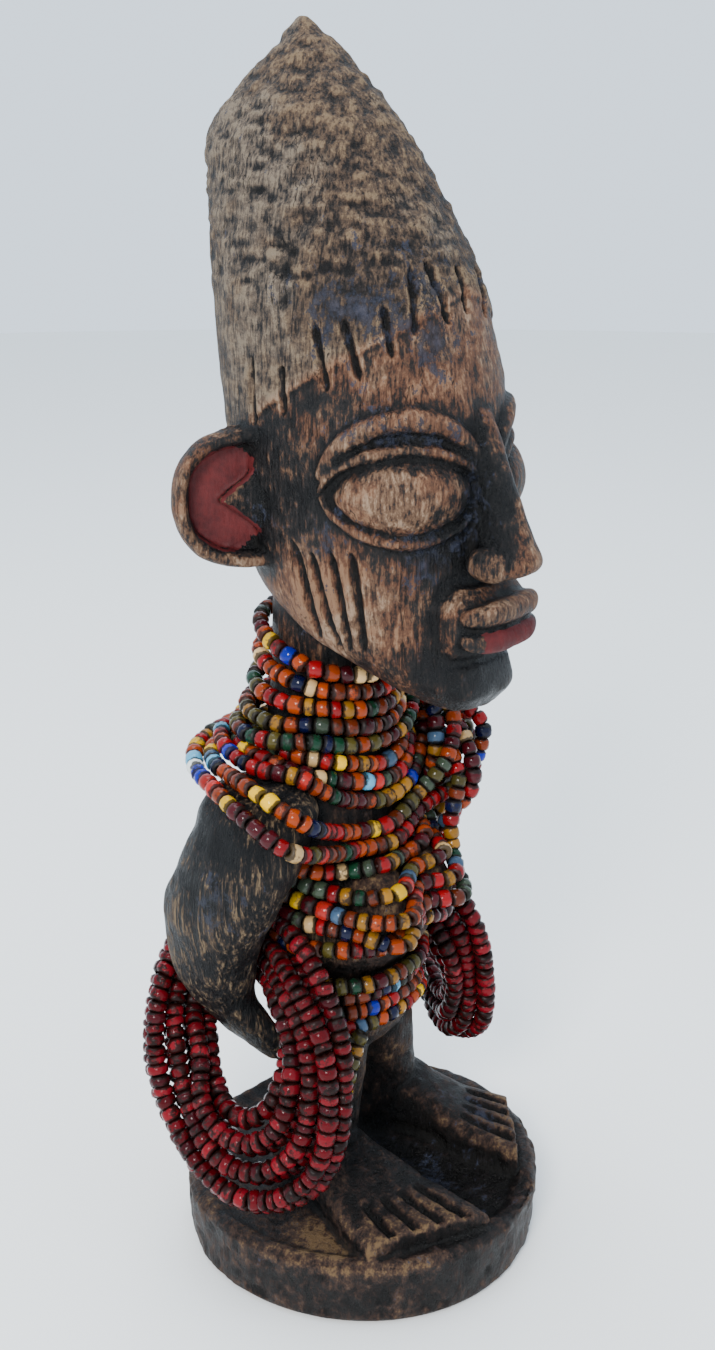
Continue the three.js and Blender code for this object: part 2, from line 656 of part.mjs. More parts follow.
// Waist strands lie level between the belly and the hands.
const WAIST_FOOT = 43.5;
const WAIST_STRANDS = 4;
count(WAIST_STRANDS).forEach((i) => {
  const lift = BEAD_DIAMETER / 2 + STRAND_GAP * 2;
  const points = ring(12, (angle) => body.point(angle, WAIST_FOOT + i * PITCH / SQUARE, lift));
  strand(`waist_strand_${i + 1}`, points, BEAD_DIAMETER, BEAD_COLOR, 4);
});

// Loops of red beads hang from the wrists in two layers. Each is given by nine places, from between the arm
// and the body to the front, down, outward, up behind the arm and back.
function wristLoops(side, number, knotsAt) {
  const name = side < 0 ? 'right_wrist_strand' : 'left_wrist_strand';
  count(number).forEach((i) => {
    const knots = knotsAt(i / (number - 1), i % 2)
      .map(([x, y, z]) => vector(x * side * SQUARE, y * SQUARE, z * SQUARE));
    strand(`${name}_${i + 1}`, loop(knots, 12), WRIST_BEAD_DIAMETER, WRIST_COLOR, 4);
  });
}
const HANG = radians(38); // turn of the right wrist's loops, outward from the figure's front
const spread = (along, out, z) => [
  Math.sin(HANG) * along + Math.cos(HANG) * out,
  Math.cos(HANG) * along - Math.sin(HANG) * out,
  z,
];
wristLoops(-1, 7, (s, layer) => [
  [17 + 4.2 * layer, 13, 70 + 18 * s],
  spread(16 - 8 * s, 18 + 6 * s + 3.8 * layer, 68 + 14 * s),
  spread(17 - 14 * s, 26 + 8 * s + 3.8 * layer, 56 - 2 * s),
  spread(20 - 13 * s, 30 + 6 * s + 3.8 * layer, 49 - 16 * s),
  spread(27 - 6 * s, 29 + 5 * s + 3.8 * layer, 44 - 20 * s),
  spread(34 + 3 * s, 24 + 2 * s + 3.8 * layer, 46 - 21 * s),
  spread(38 + 9 * s, 14 - 2 * s + 3.8 * layer, 56 - 6 * s),
  spread(38 + 3 * s, 4 + 3.8 * layer, 67 + 7 * s),
  spread(33 + 5 * s, -3 + 3.8 * layer, 72 + 15 * s),
]);
wristLoops(1, 6, (s, layer) => [
  [17 + 4.2 * layer, 13, 70 + 15 * s],
  [21 + 3.8 * layer, -8 - 3 * s, 72 + 12 * s],
  [24 + 3.8 * layer, -12 - 2 * s, 62 + 4 * s],
  [29 + 3.8 * layer, -8 - 4 * s, 50 - 9 * s],
  [34 + 3.8 * layer, -1, 46 - 14 * s],
  [39 + 3 * s + 3.8 * layer, 10 + 2 * s, 50 - 8 * s],
  [41 + 3 * s + 3.8 * layer, 22 + 3 * s, 64],
  [31 + 3 * layer, 31 + 3 * s, 74 + 8 * s],
  [20 + 3 * layer, 24 + 3 * s, 74 + 14 * s],
]);

settle(outsideOf(join([trunk, ...arms, ...SIDES.map((side) => leg(side).solid(10, 1))])));
strings.forEach((string) => addPiece(string.name, tubeOf(string), string.color, 0.35));

export default object;
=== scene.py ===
import math

import bmesh
import bpy
import numpy as np
from mathutils import Matrix, Vector


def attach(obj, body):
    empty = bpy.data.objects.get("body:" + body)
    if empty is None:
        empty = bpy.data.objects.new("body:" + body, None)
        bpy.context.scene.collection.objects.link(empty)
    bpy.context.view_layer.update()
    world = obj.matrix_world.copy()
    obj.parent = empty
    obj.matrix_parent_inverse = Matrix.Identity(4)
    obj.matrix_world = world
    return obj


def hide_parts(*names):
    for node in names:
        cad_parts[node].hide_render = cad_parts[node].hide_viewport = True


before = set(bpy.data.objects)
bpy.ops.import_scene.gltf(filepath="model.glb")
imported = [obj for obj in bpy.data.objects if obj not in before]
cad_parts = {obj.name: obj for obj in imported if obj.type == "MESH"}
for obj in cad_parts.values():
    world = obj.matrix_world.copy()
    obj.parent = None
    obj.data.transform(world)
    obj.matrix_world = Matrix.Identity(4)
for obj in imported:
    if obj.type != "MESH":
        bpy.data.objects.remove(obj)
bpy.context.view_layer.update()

# Camera
# It stands off the figure's right shoulder, level with the tall hair, and looks down 18 degrees. The picture
# is 715 by 1350. Sizes are metres.
CAMERA_PLACE = (-0.2535, -0.1981, 0.247)
LOOK_DOWN = math.radians(18)
HEADING = math.radians(51.83)
camera = bpy.data.objects.new("camera", bpy.data.cameras.new("camera"))
camera.data.lens = 40
camera.data.sensor_width = 36
camera.location = CAMERA_PLACE
camera.rotation_euler = (math.pi / 2 - LOOK_DOWN, 0, -HEADING)
bpy.context.scene.collection.objects.link(camera)
bpy.context.scene.camera = camera

# Carved figure
# One block of hard wood, cut with adze and knife: hair, head, body, limbs and the round base are one piece.
# Sizes are millimetres, and heights count from the top of the base, where the feet stand.
BASE_THICKNESS = 17.0
MILLIMETRES = 1000  # in a metre
SIDES = (-1, 1)  # the figure's right and left
UPWARD = np.array([0, 0, 1.0])


def unit(vectors):
    """Vectors brought to a length of 1."""
    return vectors / np.maximum(np.linalg.norm(vectors, axis=-1, keepdims=True), 1e-9)


def power(value, exponent):
    """A power that keeps the sign."""
    return np.sign(value) * np.abs(value) ** exponent


def arch(share):
    """The height of a half circle over a share from -1 to 1."""
    return np.sqrt(np.maximum(1 - np.square(share), 0))


def between(start, end, share):
    return start + (end - start) * share


def point(x, y, up):
    """One place or many, at a height over the base."""
    return np.stack(np.broadcast_arrays(x, y, BASE_THICKNESS + np.asarray(up, float)), axis=-1).astype(float)


def smooth(places, rows, wanted):
    """Values between rows that stand at given places, without corners."""
    places, rows = np.asarray(places, float), np.asarray(rows, float)
    flat = rows.reshape(len(rows), -1)
    last = len(places) - 1
    own = np.arange(last + 1)
    before, after = np.maximum(own - 1, 0), np.minimum(own + 1, last)
    slope = (flat[after] - flat[before]) / (places[after] - places[before])[:, None]
    wanted = np.clip(np.asarray(wanted, float), places[0], places[-1])
    i = np.clip(np.searchsorted(places, wanted, side="right") - 1, 0, last - 1)
    span = (places[i + 1] - places[i])[..., None]
    t = (wanted - places[i])[..., None] / span
    made = (flat[i] * (1 + 2 * t) * (1 - t) ** 2 + flat[i + 1] * t * t * (3 - 2 * t)
            + slope[i] * span * t * (1 - t) ** 2 + slope[i + 1] * span * t * t * (t - 1))
    return made if rows.ndim > 1 else made[..., 0]


def shell(wood, sides, steps, place):
    """A closed form: a unit tube cut into rings, whose points move to place(angle, share)."""
    first = len(wood.verts)
    bmesh.ops.create_cone(wood, cap_ends=True, segments=sides, radius1=1, radius2=1, depth=1)
    wood.verts.ensure_lookup_table()
    uprights = {edge for vert in wood.verts[first:] for edge in vert.link_edges
                if abs(edge.verts[0].co.z - edge.verts[1].co.z) > 0.5}
    bmesh.ops.subdivide_edges(wood, edges=list(uprights), cuts=steps - 1)
    wood.verts.ensure_lookup_table()
    verts = wood.verts[first:]
    unplaced = np.array([vert.co for vert in verts])
    placed = place(np.arctan2(unplaced[:, 1], unplaced[:, 0]), unplaced[:, 2] + 0.5)
    for vert, spot in zip(verts, placed):
        vert.co = spot


class Form:
    """An upright form given by level sections: height, centre x and y, half width, half depth, squareness.

    Angle 0 points forward (-Y) and a quarter turn points to the figure's right (-X)."""

    def __init__(self, sections):
        self.sections = np.array(sections, float)

    def at(self, up):
        return np.moveaxis(smooth(self.sections[:, 0], self.sections[:, 1:], up), -1, 0)

    def point(self, angle, up, lift=0.0):
        x, y, wide, deep, square = self.at(up)
        s, c = np.sin(angle), np.cos(angle)
        out = unit(np.stack(np.broadcast_arrays(-s / wide, -c / deep, 0.0), axis=-1))
        spot = point(x - wide * power(s, 2 / square), y - deep * power(c, 2 / square), up)
        return spot + out * np.asarray(lift, float)[..., None]

    def outward(self, angle, up):
        return self.point(angle, up, 1.0) - self.point(angle, up)

    def angle_at(self, y, up):
        """The turn from the front at which the surface lies at y."""
        _, centre, _, deep, square = self.at(up)
        return np.arccos(np.clip(power((centre - y) / deep, square / 2), -1, 1))

    def carve(self, wood, sides, steps):
        low, high = self.sections[0, 0], self.sections[-1, 0]
        shell(wood, sides, steps, lambda angle, share: self.point(angle, between(low, high, share)))


def rail(wood, points, across, high, out, square=2.0, sides=24, steps=40, bend=None):
    """A form along a smooth line. across and high are its half sizes, and out the way high is measured."""
    points = np.array(points, float)
    knots = np.linspace(0, 1, len(points))
    sized = lambda size, share: size(share) if callable(size) else size

    def place(angle, share):
        ahead = unit(smooth(knots, points, share + 1e-3) - smooth(knots, points, share - 1e-3))
        way = np.broadcast_to(sized(out, share), ahead.shape)
        side = unit(np.cross(ahead, way))
        rise = np.cross(side, ahead)
        spot = (smooth(knots, points, share)
                + rise * (sized(high, share) * power(np.cos(angle), 2 / square))[:, None]
                + side * (sized(across, share) * power(np.sin(angle), 2 / square))[:, None])
        return bend(spot) if bend else spot

    shell(wood, sides, steps, place)


head = Form([
    [125.5, 0, -28, 8, 5.5, 2.4], [130.5, 0, -23, 14.5, 12, 2.4], [134.5, 0, -17.5, 17.5, 17, 2.3],
    [139, 0, -11.5, 20, 22, 2.2], [147, 0, -6, 22.5, 26.5, 2.2], [156, 0, -3.2, 24, 28.5, 2.2],
    [168, 0, -1.2, 25, 30.2, 2.2], [186, 0, -0.4, 25.5, 31.2, 2.2], [200, 0, 1.7, 25, 30.8, 2.2],
    [211, 0, 3.9, 24, 29.9, 2.2], [234, 0, 11.9, 19, 24.7, 2.2], [243, 0, 14.9, 15.5, 21.3, 2.2],
    [251, 0, 14.9, 10.5, 14, 2.1], [259, 0, 14.6, 4.5, 5.6, 2], [263, 0, 15.3, 1, 1, 2],
])
CHIN, HAIRLINE = 125.5, 211.0


def face_level(share):
    return CHIN + (HAIRLINE - CHIN) * share


EYE_LEVEL, EYE_ANGLE, EYE_SPREAD = face_level(0.54), math.radians(40), math.radians(34)
EYE_HALF, EYE_BULGE = 9.0, 5.4
BALL_REACH, LID_REACH, BROW_RISE = 0.93, 1.08, 15.5
LIDS_AND_BROW = (  # the rise along the line, the lift off the face and the half thickness
    (lambda s: EYE_HALF * arch(s) ** 1.2 + 0.4, 0.4, 1.4),
    (lambda s: -EYE_HALF * arch(s) ** 1.2 - 0.4, 0.2, 1.3),
    (lambda s: BROW_RISE * arch(s * 0.97) - 0.5, 0.5, 2.4),
)


def eye(wood, side):
    """The ball of an eye, its two lids and the brow."""
    turn = lambda s: -side * (EYE_ANGLE + EYE_SPREAD * s)
    out = lambda s: head.outward(turn(s), EYE_LEVEL)
    s = np.linspace(-BALL_REACH, BALL_REACH, 25)
    rail(wood, head.point(turn(s), EYE_LEVEL, -1.0), sides=32,
         across=lambda t: 0.4 + (EYE_HALF - 1.4) * arch(2 * t - 1) ** 1.3,
         high=lambda t: 0.4 + EYE_BULGE * arch(2 * t - 1),
         out=lambda t: out(between(-BALL_REACH, BALL_REACH, t)))
    for rise, lift, thick in LIDS_AND_BROW:
        s = np.linspace(-LID_REACH, LID_REACH, 31)
        rail(wood, head.point(turn(s), EYE_LEVEL + rise(s / LID_REACH), lift), high=1.5, steps=60, sides=16,
             across=lambda t: thick * (0.35 + 0.65 * arch(2 * t - 1)),
             out=lambda t: out(between(-LID_REACH, LID_REACH, t)))


nose = Form([
    [154.5, 0, -36.5, 5, 4.5, 2.2], [156, 0, -37.5, 6.6, 6.8, 2.2], [158.5, 0, -37.8, 6.4, 7.6, 2],
    [163, 0, -36, 5, 7.2, 1.9], [170, 0, -34, 4, 6, 1.8], [179, 0, -32, 3.4, 4.4, 1.8],
    [188, 0, -30.2, 2.6, 1.9, 1.8],
])
muzzle = Form([
    [136.5, 0, -29, 9, 3.5, 2.4], [139, 0, -30, 12, 6, 2.4], [142.5, 0, -31, 13, 7.5, 2.3],
    [146, 0, -31, 13, 8, 2.3], [149.5, 0, -31, 12, 7, 2.3], [152.5, 0, -31, 9.5, 4.5, 2.3],
])
UPPER_LIP, LOWER_LIP = 147.9, 141.9
LIP_HALF, LIP_FRONT = 9.5, -35.5  # the paint on the lower lip keeps within these


def nostril(wood, side):
    s = np.linspace(-1, 1, 7)
    rail(wood, point(side * (5.8 + 0.6 * s), -37 + 4.2 * s, 157.6 + 0.4 * s), out=UPWARD,
         across=lambda t: 1 + 2.3 * arch(2 * t - 1), high=lambda t: 1 + 2.6 * arch(2 * t - 1))


def lip(wood, level, droop):
    s = np.linspace(-1, 1, 21)
    rail(wood, muzzle.point(1.15 * s, level - droop * s * s, 0.3), out=UPWARD, square=2.3,
         across=lambda t: 0.8 + 2 * arch(2 * t - 1), high=lambda t: 0.7 + 2 * arch(2 * t - 1))


chin = Form([
    [CHIN + 0.5, 0, -27, 8, 6.5, 3.4], [CHIN + 4, 0, -28, 10.5, 8, 3.4], [CHIN + 10, 0, -27, 11, 8, 3],
])
EAR_UP, EAR_REACH, EAR_HALF = 168.3, 16.0, 13.0
EAR_FLOOR, EAR_RIM, EAR_DEPTH = 2.4, 1.8, 3.6


def ear_ways(side):
    """Away from the head along the ear, and forward out of its hollow."""
    return np.array([side * 0.8, 0.6, 0]), np.array([side * 0.6, -0.8, 0])


def ear_spot(side, u, v, w):
    """A place in the ear: u away from the head, v up and w out of its hollow."""
    away, front = ear_ways(side)
    u, v, w = (np.asarray(part, float)[..., None] for part in np.broadcast_arrays(u, v, w))
    return point(side * 22.5, 10.5, EAR_UP) + away * u + front * w + UPWARD * v


def ear(wood, side):
    """A bent rim round a thin floor, and the wedge that joins the floor to the head."""
    _, front = ear_ways(side)
    turn = np.linspace(-0.6, 0.6, 25) * math.pi
    rail(wood, ear_spot(side, EAR_REACH * power(np.cos(turn), 0.8), EAR_HALF * power(np.sin(turn), 0.8), 0),
         across=EAR_RIM, high=EAR_DEPTH, out=front, square=2.2, steps=60)
    s = np.linspace(-0.97, 0.97, 15)
    rail(wood, ear_spot(side, EAR_REACH / 2 * arch(s) - 1.5, EAR_HALF * s, -EAR_DEPTH / 2),
         across=lambda t: (EAR_REACH / 2 + 1.5) * arch(between(-0.96, 0.96, t)),
         high=EAR_FLOOR / 2, out=front)
    rail(wood, ear_spot(side, np.linspace(-7, 8, 5), 0, 1), across=lambda t: between(12, 0.5, t),
         high=lambda t: between(4.5, 1.2, t), out=front, square=1.6)


body = Form([
    [33, 2.5, 6, 15, 10.5, 2.4], [38, 2, 5.6, 18, 12.5, 2.4], [52, 0.4, 4, 15, 12, 2.1],
    [58, 0, 3, 16.3, 14.2, 2.1], [64, 0, 2, 19.2, 17.2, 2.1], [71, 0, 2.5, 19.8, 16.6, 2.1],
    [80, 0, 4, 17.8, 14.2, 2.1], [90, 0, 5.5, 18.2, 12.8, 2.2], [98, 0, 7, 23, 12, 2.5],
    [104, 0, 8.5, 20.5, 12.3, 2.4], [109, 0, 9.5, 16.5, 13, 2.1], [116, 0, 10, 14, 13.6, 2],
    [126, 0, 10, 12.6, 12.8, 2], [150, 0, 9, 12.4, 12.8, 2],
])


def breast(wood, side):
    size = lambda t: smooth([0, 1 / 3, 2 / 3, 1], [8.5, 7.4, 4.8, 1.6], t)
    line = ((5, -5, 78), (8, -10.5, 76), (9.4, -15, 73.5), (9.8, -18, 71.5))
    rail(wood, [point(side * x, y, up) for x, y, up in line], across=size, high=size, out=UPWARD)


ARM_SECTIONS = [  # height, distance from the middle, y, half width and half depth
    [33, 19, 12, 2.6, 4.5], [41, 23.5, 15, 4.5, 8], [51, 29.2, 18, 6, 8.5], [58, 31.3, 18.2, 7.6, 10],
    [66, 32.6, 17.3, 8.5, 11.5], [76, 33.2, 14.5, 9.3, 14.3], [86, 31.9, 10.5, 9.6, 14.6],
    [95, 28.6, 8, 10.6, 14], [101, 26.4, 7.6, 10.2, 13.4], [104.5, 25.4, 7.8, 7.6, 10.4], [106, 25, 8, 4, 6],
]


def arm(side):
    return Form([[up, side * x, y, wide, deep, 2.3] for up, x, y, wide, deep in ARM_SECTIONS])


STANCE = {-1: ((-11, 4.5), (-7.5, 5)), 1: ((17.5, 8), (12, 6.5))}  # ankle and hip, x and y
FOOT_RISE = 5.5
FOOT = {
    -1: dict(heel=(-10.5, 15), toes=(-18.5, -34.5), half=14.6, skew=math.radians(20)),
    1: dict(heel=(18, 20), toes=(27.5, -27), half=11.5, skew=math.radians(-28)),
}


LEG_SECTIONS = [  # height, share of the way from ankle to hip, half width and half depth
    [-1, 0, 8, 9], [15, 0.15, 8.8, 9.4], [28, 0.7, 9.2, 10.4], [36, 1, 9.2, 10.6], [40, 1, 8, 9.6],
]


def leg(side):
    ankle, hip = STANCE[side]
    return Form([[up, between(ankle[0], hip[0], t), between(ankle[1], hip[1], t), wide, deep, 2.2]
                 for up, t, wide, deep in LEG_SECTIONS])


def foot_frame(side):
    """The heel and toes of a foot, and the ways ahead and sideways from it."""
    start, end = point(*FOOT[side]["heel"], 0), point(*FOOT[side]["toes"], 0)
    ahead = unit(end - start)
    return start, end, ahead, np.cross(ahead, UPWARD)


def slant(side, spots):
    """Draws one side of a foot's front ahead and the other back, so that its toes end on a slant."""
    start, end, ahead, sideways = foot_frame(side)
    reach = spots - start
    share = np.maximum(reach @ ahead / np.linalg.norm(end - start), 0)
    return spots - ahead * ((reach @ sideways) * math.tan(FOOT[side]["skew"]) * share ** 2)[..., None]


def foot(wood, side):
    start, end, _, _ = foot_frame(side)
    half = FOOT[side]["half"]
    shares = np.array([0, 0.1, 0.32, 0.5, 0.74, 1])
    widths = [6, 8.5, 9, half * 0.72, half * 0.9, half]
    rises = np.array([4, 6.5, 7.5, 4.5, 1, 0])
    knots = np.linspace(0, 1, len(shares))
    spine = start + (end - start) * shares[:, None]
    spine[:, 2] = BASE_THICKNESS + (FOOT_RISE + rises) / 2 - 1
    rail(wood, spine, across=lambda t: smooth(knots, widths, t),
         high=lambda t: (FOOT_RISE + smooth(knots, rises, t)) / 2 + 1, out=UPWARD,
         square=3.4, sides=64, bend=lambda spots: slant(side, spots))


BASE_RADIUS, BASE_EDGE, BASE_TAPER = 43.5, 1.5, 1.0
BASE_CENTRE = (0.4, -0.6)
OUT_OF_ROUND = 0.012


def base(wood):
    heights = [0, BASE_EDGE, BASE_THICKNESS - BASE_EDGE, BASE_THICKNESS]
    foot_radius = BASE_RADIUS - BASE_TAPER
    radii = [foot_radius - BASE_EDGE, foot_radius, BASE_RADIUS, BASE_RADIUS - BASE_EDGE]

    def place(angle, share):
        z = share * BASE_THICKNESS
        reach = np.interp(z, heights, radii)
        reach = reach * (1 + OUT_OF_ROUND * np.cos(2 * angle + 0.6) + OUT_OF_ROUND * np.cos(3 * angle - 0.8))
        x, y = BASE_CENTRE
        return np.stack([x + reach * np.cos(angle), y + reach * np.sin(angle), z], axis=-1)

    shell(wood, 120, 34, place)


wood = bmesh.new()
base(wood)
for side in SIDES:
    leg(side).carve(wood, 40, 50)
    foot(wood, side)
    arm(side).carve(wood, 48, 70)
    breast(wood, side)
    eye(wood, side)
    ear(wood, side)
    nostril(wood, side)
body.carve(wood, 64, 100)
head.carve(wood, 96, 120)
nose.carve(wood, 48, 50)
muzzle.carve(wood, 48, 24)
lip(wood, UPPER_LIP, 0.8)
lip(wood, LOWER_LIP, -0.8)
chin.carve(wood, 40, 20)
bmesh.ops.recalc_face_normals(wood, faces=wood.faces)


def into_mesh(made, name):
    mesh = bpy.data.meshes.new(name)
    made.to_mesh(mesh)
    made.free()
    return mesh


def finished(mesh, *modifiers):
    """A mesh with modifiers worked into it."""
    holder = bpy.data.objects.new("blank", mesh)
    bpy.context.scene.collection.objects.link(holder)
    for kind, settings in modifiers:
        modifier = holder.modifiers.new(kind, kind)
        for name, value in settings.items():
            setattr(modifier, name, value)
    made = bpy.data.meshes.new_from_object(holder.evaluated_get(bpy.context.evaluated_depsgraph_get()))
    bpy.data.objects.remove(holder)
    return made


def read(parts, what, width=3, kind=float):
    """A value of every vertex or edge of a mesh, in rows."""
    values = np.empty(len(parts) * width, dtype=kind)
    parts.foreach_get(what, values)
    return values.reshape(-1, width)


GRAIN = 0.55  # side of the cubes that the forms are fused in
rough = finished(
    into_mesh(wood, "rough"),
    ("REMESH", dict(mode="VOXEL", voxel_size=GRAIN, use_smooth_shade=True)),
    ("SMOOTH", dict(factor=0.5, iterations=2)))
spots = read(rough.vertices, "co")
outs = read(rough.vertices, "normal")


def distance_to(path, near, slack):
    """Which points lie near a line, their distance from it, and how far along it they are, as a share."""
    low, high = path.min(axis=0) - slack, path.max(axis=0) + slack
    chosen = np.flatnonzero(np.all((near > low) & (near < high), axis=1))
    best, share = np.full(len(chosen), 1e9), np.zeros(len(chosen))
    for i, (start, end) in enumerate(zip(path[:-1], path[1:])):
        way = end - start
        t = np.clip((near[chosen] - start) @ way / (way @ way), 0, 1)
        apart = np.linalg.norm(near[chosen] - start - way * t[:, None], axis=1)
        share = np.where(apart < best, (i + t) / (len(path) - 1), share)
        best = np.minimum(best, apart)
    return chosen, best, share


cuts = np.zeros(len(spots))  # how deep the knife went at each point


def knife_cut(path, width, depth, fullness=0.5):
    """Sinks a V along a line. More fullness keeps it deep nearer to its ends."""
    chosen, apart, share = distance_to(np.asarray(path), spots, width + depth)
    swell = np.clip(arch(2 * share - 1) * (1 + fullness), 0, 1)
    sunk = depth * swell * np.clip(1 - apart / (width / 2 * np.maximum(swell, 0.2)), 0, 1)
    cuts[chosen] = np.maximum(cuts[chosen], sunk)


HAIR_NOTCHES, NOTCH_WIDTH, NOTCH_DEPTH = 15, 2.3, 1.7
CHEEK_CUTS, CHEEK_CUT_DEPTH = 4, 2.0
TOES, TOE_CUT_WIDTH, TOE_CUT_DEPTH = 5, 2.8, 2.2
HAIRLINE_END = math.radians(104)
HAIRLINE_DROP = 24


def hairline(angle):
    """The height of the hairline at a turn round the head."""
    return HAIRLINE - HAIRLINE_DROP * np.abs(angle / HAIRLINE_END) ** 1.3


chance = np.random.default_rng(7)
for i in range(HAIR_NOTCHES):
    angle = between(-HAIRLINE_END, HAIRLINE_END, i / (HAIR_NOTCHES - 1))
    foot_of_cut = hairline(angle) - 4 + chance.uniform(-1.5, 1.5)
    lean = chance.uniform(-0.05, 0.05)
    ups = np.linspace(foot_of_cut, foot_of_cut + chance.uniform(9.5, 15), 8)
    knife_cut(head.point(angle + chance.uniform(-0.02, 0.02) + lean * np.linspace(-1, 1, 8), ups),
              NOTCH_WIDTH * chance.uniform(0.85, 1.15), NOTCH_DEPTH)
for side in SIDES:
    for i in range(CHEEK_CUTS):
        t = np.linspace(0, 1, 10)
        ups = between(160, 138, t)
        angles = -side * head.angle_at(between(-1 - 4.6 * i, -5.5 - 3.6 * i, t), ups)
        angles = angles + side * chance.uniform(-0.02, 0.02) * np.sin(math.pi * t)
        cheek_line = head.point(angles, ups + chance.uniform(-1.2, 1.2))
        knife_cut(cheek_line, chance.uniform(2.4, 3.2), CHEEK_CUT_DEPTH)
    start, end, ahead, sideways = foot_frame(side)
    for i in range(TOES - 1):
        shift = (i - (TOES - 2) / 2) * FOOT[side]["half"] * 2 / TOES
        path = [end + ahead * d + sideways * shift * (1 + d / 60) + UPWARD * FOOT_RISE
                for d in (-14, -9, -4, 1, 5)]
        knife_cut(slant(side, np.array(path)), TOE_CUT_WIDTH, TOE_CUT_DEPTH, fullness=1.5)

# The hollow between the feet, and the shallow dish inside the worn rim
DISH_DEPTH, HOLLOW_DEPTH, RIM_WIDTH = 1.5, 2.2, 3.5
HOLLOW_LINE = np.array([point(x, y, 0) for x, y in ((4, 14), (4, 0), (5, -12), (6.5, -24), (7.5, -33))])
level_here = np.abs(spots[:, 2] - BASE_THICKNESS) < 0.8
from_rim = BASE_RADIUS - RIM_WIDTH - np.linalg.norm(spots[:, :2], axis=1)
cuts_down = level_here * DISH_DEPTH * np.clip(from_rim / 2.5, 0, 1)
chosen, apart, share = distance_to(HOLLOW_LINE, spots, 14)
hollow = 1 - np.clip(apart / between(7, 12, share), 0, 1) ** 3
cuts_down[chosen] += HOLLOW_DEPTH * level_here[chosen] * hollow


def uneven(size, seed, stretch=(1, 1, 1)):
    """Chance values from -1 to 1 that change smoothly over about size millimetres."""
    cells = 32
    grid = np.random.default_rng(seed).uniform(-1, 1, (cells, cells, cells))
    places = spots / (size * np.array(stretch))
    cell = np.floor(places).astype(int)
    share = places - cell
    share = share * share * (3 - 2 * share)
    total = 0
    for corner in np.ndindex(2, 2, 2):
        weight = np.prod(np.where(corner, share, 1 - share), axis=1)
        total = total + weight * grid[tuple(((cell + corner) % cells).T)]
    return total


def soft(value, low, high):
    """0 up to low and 1 from high, with a soft rise between."""
    t = np.clip((value - low) / (high - low), 0, 1)
    return t * t * (3 - 2 * t)


def place_on_head(spots):
    """Height over the base, and the turn round the head from its front."""
    up = spots[:, 2] - BASE_THICKNESS
    x, y, wide, deep, _ = head.at(up)
    return up, np.arctan2(-(spots[:, 0] - x) / wide, -(spots[:, 1] - y) / deep)


def around(centre, reach):
    """1 at a centre, fading to 0 past its reach."""
    return np.exp(-np.sum(((spots - centre) / reach) ** 2, axis=1))


# Tool marks: facets everywhere, shallower on the face, wrinkles across the hair, whose edge stands a little
# over the brow, chips, and an old flaw over the right temple
FIGURE_TRIANGLES = 190_000
TEMPLE_FLAW = ((1.42, 219, 2.6, 1.0), (1.47, 214.5, 2.4, 1.5), (1.5, 209, 1.8, 1.1))
up, turn = place_on_head(spots)
over_hairline = np.clip((up - HAIRLINE + 4) / 6, 0, 1)
under_edge = hairline(turn) - up
under_neck = np.clip((124 - up) / 6, 0, 1)
plain = 0.6 + 0.4 * np.maximum(over_hairline, under_neck)
broad_facets = 0.28 * uneven(8, 11) * plain
small_facets = 0.16 * uneven(3.4, 16)
knife_facets = 0.2 * uneven(2.3, 12, (1, 1, 1.6)) * plain
wrinkles = over_hairline * 0.4 * uneven(1.45, 13, (2.6, 2.6, 1))
chips = 0.55 * np.clip(uneven(2.2, 14) - 0.45, 0, 1) * (0.35 + 0.65 * np.maximum(over_hairline, up < 0))
side_facets = (up < -1) * 0.45 * uneven(6, 15, (1, 1, 1.6))
base_chips = (up < 0.5) * 0.8 * np.clip(uneven(3.2, 22) - 0.3, 0, 1)
base_grain = (up < 0.5) * 0.14 * uneven(1.8, 23)
brow_step = 0.5 * soft(under_edge, 0.2, 1.4) * soft(15 - under_edge, 0, 12) * soft(2 - np.abs(turn), 0, 0.2)
sunk = (-broad_facets - small_facets - knife_facets - wrinkles + chips - side_facets + base_chips
        - base_grain + brow_step)
for angle, level, size, depth in TEMPLE_FLAW:
    sunk = sunk + depth * around(head.point(angle, level), size)
sunk = np.where(spots[:, 2] < 1, 0, sunk)
spots = spots - outs * (cuts + sunk)[:, None] - UPWARD * cuts_down[:, None]
rough.vertices.foreach_set("co", spots.ravel())
rough.update()
carved = finished(rough, ("DECIMATE", dict(ratio=FIGURE_TRIANGLES / (2 * len(rough.polygons)))))
spots = read(carved.vertices, "co")
outs = read(carved.vertices, "normal")
edges = read(carved.edges, "vertices", 2, np.int32)


def evened(values, rounds):
    """Values averaged with their neighbours'."""
    ends = np.concatenate([edges[:, 0], edges[:, 1]])
    others = np.concatenate([edges[:, 1], edges[:, 0]])
    weight = np.bincount(ends, minlength=len(values))
    for _ in range(rounds):
        values = np.stack([np.bincount(ends, values[others, n], len(values)) / weight
                           for n in range(values.shape[1])], axis=1)
    return values


# Wear: 0 is thick dark patina and 1 is bare wood. What stands proud is rubbed, and hollows keep their dirt.
# Painted shade on the lower jaw and a painted highlight on the ridge of the nose are added to it as well.
proud_fine = np.einsum("ij,ij->i", spots - evened(spots, 4), outs)
proud_broad = np.einsum("ij,ij->i", spots - evened(spots, 30), outs)
up, turn = place_on_head(spots)
aside, forward, round_head = np.abs(spots[:, 0]), -spots[:, 1], np.abs(turn)
over_edge = up - hairline(turn)
on_head = (up > 126).astype(float)
in_hair = on_head * soft(over_edge, -0.5, 1.5)
limbs = (aside > 17) * soft(up, 30, 36) * soft(110 - up, 0, 4)
low = (1 - on_head) * (1 - limbs)
inside_rim = soft(BASE_RADIUS - 2 - np.linalg.norm(spots[:, :2], axis=1), 0, 3)
floor_of_dish = soft(up, -3, -2) * soft(0.2 - up, 0, 0.6) * inside_rim

